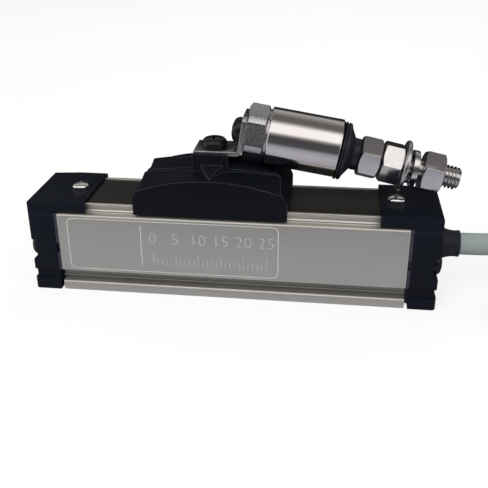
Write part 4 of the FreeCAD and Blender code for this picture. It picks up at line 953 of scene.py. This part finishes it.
@dataclass
class Engraving:
    """The filled engraving on the front: a frame with a divider, and a plain scale."""

    face_y: float = -10.0
    left: float = -36.0
    right: float = 10.65
    low: float = 5.75
    high: float = 17.9
    corner: float = 1.3
    line: float = 0.17
    proud: float = 0.012
    divider_x: float = -19.55
    divider_low: float = 7.35
    divider_high: float = 17.0
    scale_left: float = -16.9
    scale_pitch: float = 1.0
    scale_ticks: int = 26
    tick_low: float = 7.5
    tick_short: float = 1.7
    tick_long: float = 3.0
    tick_line: float = 0.14
    digit_low: float = 12.7
    digit_height: float = 2.8
    type_size: float = 1.38
    stroke_trim: float = 0.028
    curve_steps: int = 3
    corner_steps: int = 8
    number_every: int = 5

    def frame_rule(self, finishes: Finishes) -> bpy.types.Mesh:
        """The rounded frame as a flat line that follows a filleted rectangle.

        Args:
            finishes: The sensor's finishes.

        Returns:
            The flat line, drawn in the XY plane.
        """
        rule = Rule("engraved_frame", {
            "Width": (self.right - self.left) * MM, "Height": (self.high - self.low) * MM,
            "Radius": self.corner * MM, "Line": self.line * MM})
        graph = rule.graph
        outline = graph.node("GeometryNodeCurvePrimitiveQuadrilateral", {},
                             {"Width": rule.size("Width"), "Height": rule.size("Height")})
        rounded = graph.node("GeometryNodeFilletCurve", {"mode": "POLY"}, {
            "Curve": outline, "Radius": rule.size("Radius"), "Count": self.corner_steps})
        half = rule.size("Line") * 0.5
        near = graph.node("ShaderNodeCombineXYZ", {}, {"X": 0 - half})
        far = graph.node("ShaderNodeCombineXYZ", {}, {"X": half})
        pen = graph.node("GeometryNodeCurvePrimitiveLine", {}, {"Start": near, "End": far})
        drawn = graph.node("GeometryNodeCurveToMesh", {},
                           {"Curve": rounded, "Profile Curve": pen})
        return rule.run(drawn, finishes.engraving)

    def tick_rule(self, finishes: Finishes) -> bpy.types.Mesh:
        """The scale's ticks: one bar for each step, longer at each numbered one.

        Args:
            finishes: The sensor's finishes.

        Returns:
            The flat ticks, drawn in the XY plane.
        """
        rule = Rule("engraved_ticks", {
            "Count": self.scale_ticks, "Pitch": self.scale_pitch * MM,
            "Line": self.tick_line * MM, "Short": self.tick_short * MM,
            "Long": self.tick_long * MM})
        graph = rule.graph
        step = graph.node("ShaderNodeCombineXYZ", {}, {"X": rule.size("Pitch")})
        row = graph.node("GeometryNodeMeshLine", {},
                         {"Count": rule.size("Count"), "Offset": step})
        index = graph.node("GeometryNodeInputIndex")
        numbered = index.maths("MODULO", float(self.number_every)).maths("LESS_THAN", 0.5)
        tall = rule.size("Short") + numbered * (rule.size("Long") - rule.size("Short"))
        size = graph.node("ShaderNodeCombineXYZ", {},
                          {"X": rule.size("Line"), "Y": tall, "Z": 1.0})
        bar = graph.node("GeometryNodeMeshGrid", {}, {"Size X": 1.0, "Size Y": 1.0,
                                                      "Vertices X": 2, "Vertices Y": 2})
        up = graph.node("ShaderNodeCombineXYZ", {}, {"Y": 0.5})
        lifted = graph.node("GeometryNodeTransform", {},
                            {"Geometry": bar, "Translation": up})
        ticks = graph.node("GeometryNodeInstanceOnPoints", {},
                           {"Points": row, "Instance": lifted, "Scale": size})
        return rule.run(ticks, finishes.numerals)

    def stand(self, mesh: bpy.types.Mesh, x: float, z: float) -> bpy.types.Mesh:
        """Turns a flat drawing upright, facing the front, and moves it to its place.

        Args:
            mesh: The drawing, in the XY plane.
            x: Place of its origin along the housing, in millimetres.
            z: Height of its origin, in millimetres.

        Returns:
            The same mesh, in place.
        """
        upright = Matrix.Rotation(math.radians(90), 4, "X")
        mesh.transform(Matrix.Translation(metres(x, self.face_y - self.proud, z)) @ upright)
        work = bmesh.new()
        work.from_mesh(mesh)
        bmesh.ops.remove_doubles(work, verts=work.verts, dist=WELD)
        facing = sum((face.normal.y * face.calc_area() for face in work.faces), 0.0)
        if facing > 0:
            bmesh.ops.reverse_faces(work, faces=work.faces)
        work.to_mesh(mesh)
        work.free()
        return mesh

    def digits(self) -> list[bpy.types.Mesh]:
        """The plain numbers over each long tick.

        Returns:
            One mesh for each number, in place.
        """
        made = []
        for number in range(0, self.scale_ticks, self.number_every):
            data = bpy.data.curves.new(f"digit_{number}", "FONT")
            data.body = str(number)
            data.size = self.digit_height * MM * self.type_size
            data.align_x = "CENTER"
            data.offset = -self.stroke_trim * self.digit_height * MM
            data.resolution_u = self.curve_steps
            holder = bpy.data.objects.new(f"digit_{number}", data)
            bpy.context.scene.collection.objects.link(holder)
            mesh = Workshop.as_mesh(holder)
            bpy.data.objects.remove(holder)
            x = self.scale_left + number * self.scale_pitch
            made.append(self.stand(mesh, x, self.digit_low))
        return made

    def build(self, finishes: Finishes) -> None:
        """Makes the frame, divider and scale.

        Args:
            finishes: The sensor's finishes.
        """
        middle_x, middle_z = (self.left + self.right) / 2, (self.low + self.high) / 2
        outline = self.stand(self.frame_rule(finishes), middle_x, middle_z)
        divider = bpy.data.meshes.new("divider")
        half = self.line / 2
        corners = [metres(x, z, 0) for x, z in (
            (-half, 0), (half, 0), (half, self.divider_high - self.divider_low),
            (-half, self.divider_high - self.divider_low))]
        divider.from_pydata(corners, [], [(0, 1, 2, 3)])
        self.stand(divider, self.divider_x, self.divider_low)
        ticks = self.stand(self.tick_rule(finishes), self.scale_left, self.tick_low)
        Workshop.add("engraved_frame", Workshop.joined([outline, divider], "engraved_frame"),
                     finishes.engraving, "housing", "anodised_profile")
        Workshop.add("engraved_scale", Workshop.joined([ticks, *self.digits()],
                                                       "engraved_scale"),
                     finishes.numerals, "housing", "anodised_profile")


@dataclass
class Housing:
    """The fixed body: extrusion, caps, gaskets, band, screws, gland and the element inside."""

    profile_edge: float = 0.12
    cap_edge: float = 0.22
    screw_edge: float = 0.07
    gland_edge: float = 0.15
    cap_angle: float = 24.0

    def build(self, finishes: Finishes) -> None:
        """Finishes each fixed piece.

        Args:
            finishes: The sensor's finishes.
        """
        make = Workshop.softened
        make("profile_housing", self.profile_edge, finishes.profile, "extruded_housing")
        for side in ("left", "right"):
            make(f"end_cap_{side}", self.cap_edge, finishes.cap, angle=self.cap_angle)
            make(f"end_screws_{side}", self.screw_edge, finishes.black_steel)
            make(f"band_screw_{side}", self.screw_edge, finishes.chrome)
            Workshop.dress(f"gasket_{side}", finishes.gasket)
        make("cable_gland", self.gland_edge, finishes.gland, "cable_grommet")
        for node, finish in (
                ("cover_band", finishes.band), ("element_board", finishes.board),
                ("resistive_track", finishes.ink), ("collector_track", finishes.ink),
                ("core_wires", finishes.core_red), ("cable_inner", finishes.jacket)):
            Workshop.dress(node, finish)
        Engraving().build(finishes)


@dataclass
class Carriage:
    """The moulded carriage with its wiper, bracket and screws."""

    shell_edge: float = 0.28
    shell_angle: float = 24.0
    bracket_edge: float = 0.08
    screw_edge: float = 0.08

    def build(self, finishes: Finishes) -> None:
        """Finishes each piece that slides.

        Args:
            finishes: The sensor's finishes.
        """
        make = Workshop.softened
        make("carriage", self.shell_edge, finishes.carriage, "carriage_shell",
             angle=self.shell_angle)
        make("bracket", self.bracket_edge, finishes.zinc, "bracket_plate")
        make("bracket_screw", self.screw_edge, finishes.black_steel)
        make("joint_screw", self.screw_edge, finishes.black_steel)
        for node, finish in (
                ("glide_pads", finishes.acetal), ("wiper_carrier", finishes.spring),
                ("wiper_block", finishes.acetal), ("wiper_brushes", finishes.bronze),
                ("bracket_insert", finishes.brass)):
            Workshop.dress(node, finish)


@dataclass
class BallJoint:
    """The turned ball joint between the bracket and the stud."""

    plug_edge: float = 0.3
    housing_edge: float = 0.14
    boot_edge: float = 0.12
    plug_angle: float = 20.0
    round_steps: int = 3

    def build(self, finishes: Finishes) -> None:
        """Finishes each piece of the joint.

        Args:
            finishes: The sensor's finishes.
        """
        make = Workshop.softened
        make("joint_plug", self.plug_edge, finishes.plug, segments=self.round_steps,
             angle=self.plug_angle)
        make("joint_housing", self.housing_edge, finishes.turned(),
             segments=self.round_steps)
        make("dust_boot", self.boot_edge, finishes.boot)
        for node, finish in (
                ("seat_spring", finishes.spring), ("rear_seat", finishes.acetal),
                ("front_seat", finishes.acetal), ("ball_liner", finishes.liner)):
            Workshop.dress(node, finish)


@dataclass
class StudTrain:
    """The ball stud with its cut thread, nuts and washers."""

    centre: Vector
    axis: Vector
    ball: float = 3.75
    neck: float = 2.25
    major: float = 2.5
    pitch: float = 0.8
    depth: float = 0.49
    start: float = 10.6
    end: float = 32.4
    chamfer: float = 0.6
    crest_share: float = 0.125
    flank_share: float = 0.625
    steps: int = 48
    rows: int = 9
    ball_steps: int = 24
    core_steps: int = 64
    core_gap: float = 0.02
    lead_in: float = 0.2
    face_gap: float = 0.001
    nut_edge: float = 0.3
    nut_angle: float = 20.0
    nut_steps: int = 3
    washer_edge: float = 0.15
    spring_edge: float = 0.1

    def place(self) -> Matrix:
        """Where the stud's own axis lies."""
        turn = Vector((1, 0, 0)).rotation_difference(self.axis).to_matrix().to_4x4()
        return Matrix.Translation(self.centre) @ turn

    def thread_rule(self, finishes: Finishes) -> bpy.types.Mesh:
        """The thread as one wound surface: a grid rolled round the axis, one pitch to a turn.

        Args:
            finishes: The sensor's finishes.

        Returns:
            The thread's surface, about the X axis.
        """
        turns = math.ceil((self.end - self.start) / self.pitch) + 1
        rule = Rule("stud_thread", {
            "Turns": turns, "Steps": self.steps, "Pitch": self.pitch * MM,
            "Radius": self.major * MM, "Depth": self.depth * MM, "Start": self.start * MM,
            "End": self.end * MM, "Tip": self.chamfer * MM})
        graph, size = rule.graph, rule.size
        sheet = graph.node("GeometryNodeMeshGrid", {}, {
            "Size X": 1.0, "Size Y": 1.0,
            "Vertices X": size("Turns") * size("Steps") + 1, "Vertices Y": self.rows})
        spot = graph.node("ShaderNodeSeparateXYZ", {},
                          {"Vector": graph.node("GeometryNodeInputPosition")})
        wound = (spot.out("X") + 0.5) * size("Turns")
        across = spot.out("Y") + 0.5
        along = (wound + across - 1) * size("Pitch") + size("Start")
        along = along.maths("MAXIMUM", size("Start")).maths("MINIMUM", size("End"))
        flank = (across - 0.5).maths("ABSOLUTE") * 2
        sunk = ((flank - self.crest_share) / self.flank_share).clamp() * size("Depth")
        tip = size("Radius") - size("Tip")
        near_end = tip + size("End") - along
        near_start = tip + along - size("Start")
        radius = (size("Radius") - sunk).maths("MINIMUM", near_end)
        radius = radius.maths("MINIMUM", near_start)
        angle = wound * math.tau
        point = graph.node("ShaderNodeCombineXYZ", {}, {
            "X": along, "Y": radius * angle.maths("COSINE"), "Z": radius * angle.maths("SINE")})
        rolled = graph.node("GeometryNodeSetPosition", {},
                            {"Geometry": sheet, "Position": point})
        closed = graph.node("GeometryNodeMergeByDistance", {},
                            {"Geometry": rolled, "Distance": WELD})
        return rule.run(closed, finishes.plated)

    def core_outline(self) -> list[tuple[float, float]]:
        """Outline of the ball, the neck and the flat end behind the thread's tip.

        Returns:
            Points of (station, radius) in millimetres, from the ball to the end.
        """
        meet = math.sqrt(self.ball ** 2 - self.neck ** 2)
        first = math.atan2(self.neck, meet)
        steps = self.ball_steps
        arc = [math.pi - (math.pi - first) * k / steps for k in range(steps + 1)]
        outline = [(self.ball * math.cos(a), max(0.0, self.ball * math.sin(a))) for a in arc]
        outline[0] = (-self.ball, 0)
        core = self.major - self.chamfer - self.core_gap
        last = self.end - self.face_gap
        return outline + [(self.start - self.core_gap, self.neck),
                          (self.start + self.lead_in, core), (last, core), (last, 0)]

    def build(self, finishes: Finishes) -> None:
        """Makes the stud and finishes the nuts and washers.

        Args:
            finishes: The sensor's finishes.
        """
        core = Workshop.lathe(self.core_outline(), self.core_steps)
        core_mesh = bpy.data.meshes.new("stud_core")
        core.to_mesh(core_mesh)
        core.free()
        thread = self.thread_rule(finishes)
        work = bmesh.new()
        work.from_mesh(thread)
        bmesh.ops.recalc_face_normals(work, faces=work.faces)
        if sum(face.normal.yz.dot(face.calc_center_median().yz) for face in work.faces) < 0:
            bmesh.ops.reverse_faces(work, faces=work.faces)
        work.to_mesh(thread)
        work.free()
        whole = Workshop.joined([core_mesh, thread], "threaded_stud")
        whole.transform(self.place())
        Workshop.add("threaded_stud", whole, finishes.plated, "stud", "plated_steel",
                     ["ball_stud"])
        for node in ("lock_nut_inner", "lock_nut_outer", "end_nut"):
            Workshop.softened(node, self.nut_edge, finishes.plated, segments=self.nut_steps,
                              angle=self.nut_angle)
        Workshop.softened("flat_washer", self.washer_edge, finishes.washer)
        Workshop.softened("spring_washer", self.spring_edge, finishes.plated)


def joint_fact(name: str, key: str) -> Vector:
    """A place or axis of a joint from the record.

    Args:
        name: The joint's name.
        key: "pos_m" for its place or "axis" for its axis.

    Returns:
        The place in metres, or the axis.
    """
    joint = next(j for j in frame["joints"] if j["name"] == name)
    return Vector(joint[key])


def lean_turn(axis: Vector) -> Point:
    """Turn that lays the X axis of a pattern along an axis in the XZ plane."""
    return (0.0, math.atan2(-axis.z, axis.x), 0.0)


def main() -> None:
    """Builds the scene in order: camera, cable, then each sub-assembly."""
    logging.basicConfig(level=logging.INFO, format="%(name)s: %(message)s")
    up = joint_fact("ball_yaw", "axis")
    joint_axis = Vector((up.z, 0, -up.x))
    finishes = Finishes(lean_turn(joint_axis))
    Studio().build()
    Cable().build(finishes)
    Housing().build(finishes)
    Carriage().build(finishes)
    BallJoint().build(finishes)
    StudTrain(joint_fact("ball_yaw", "pos_m"),
              joint_fact("stud_spin", "axis")).build(finishes)


if __name__ == "__main__":
    main()
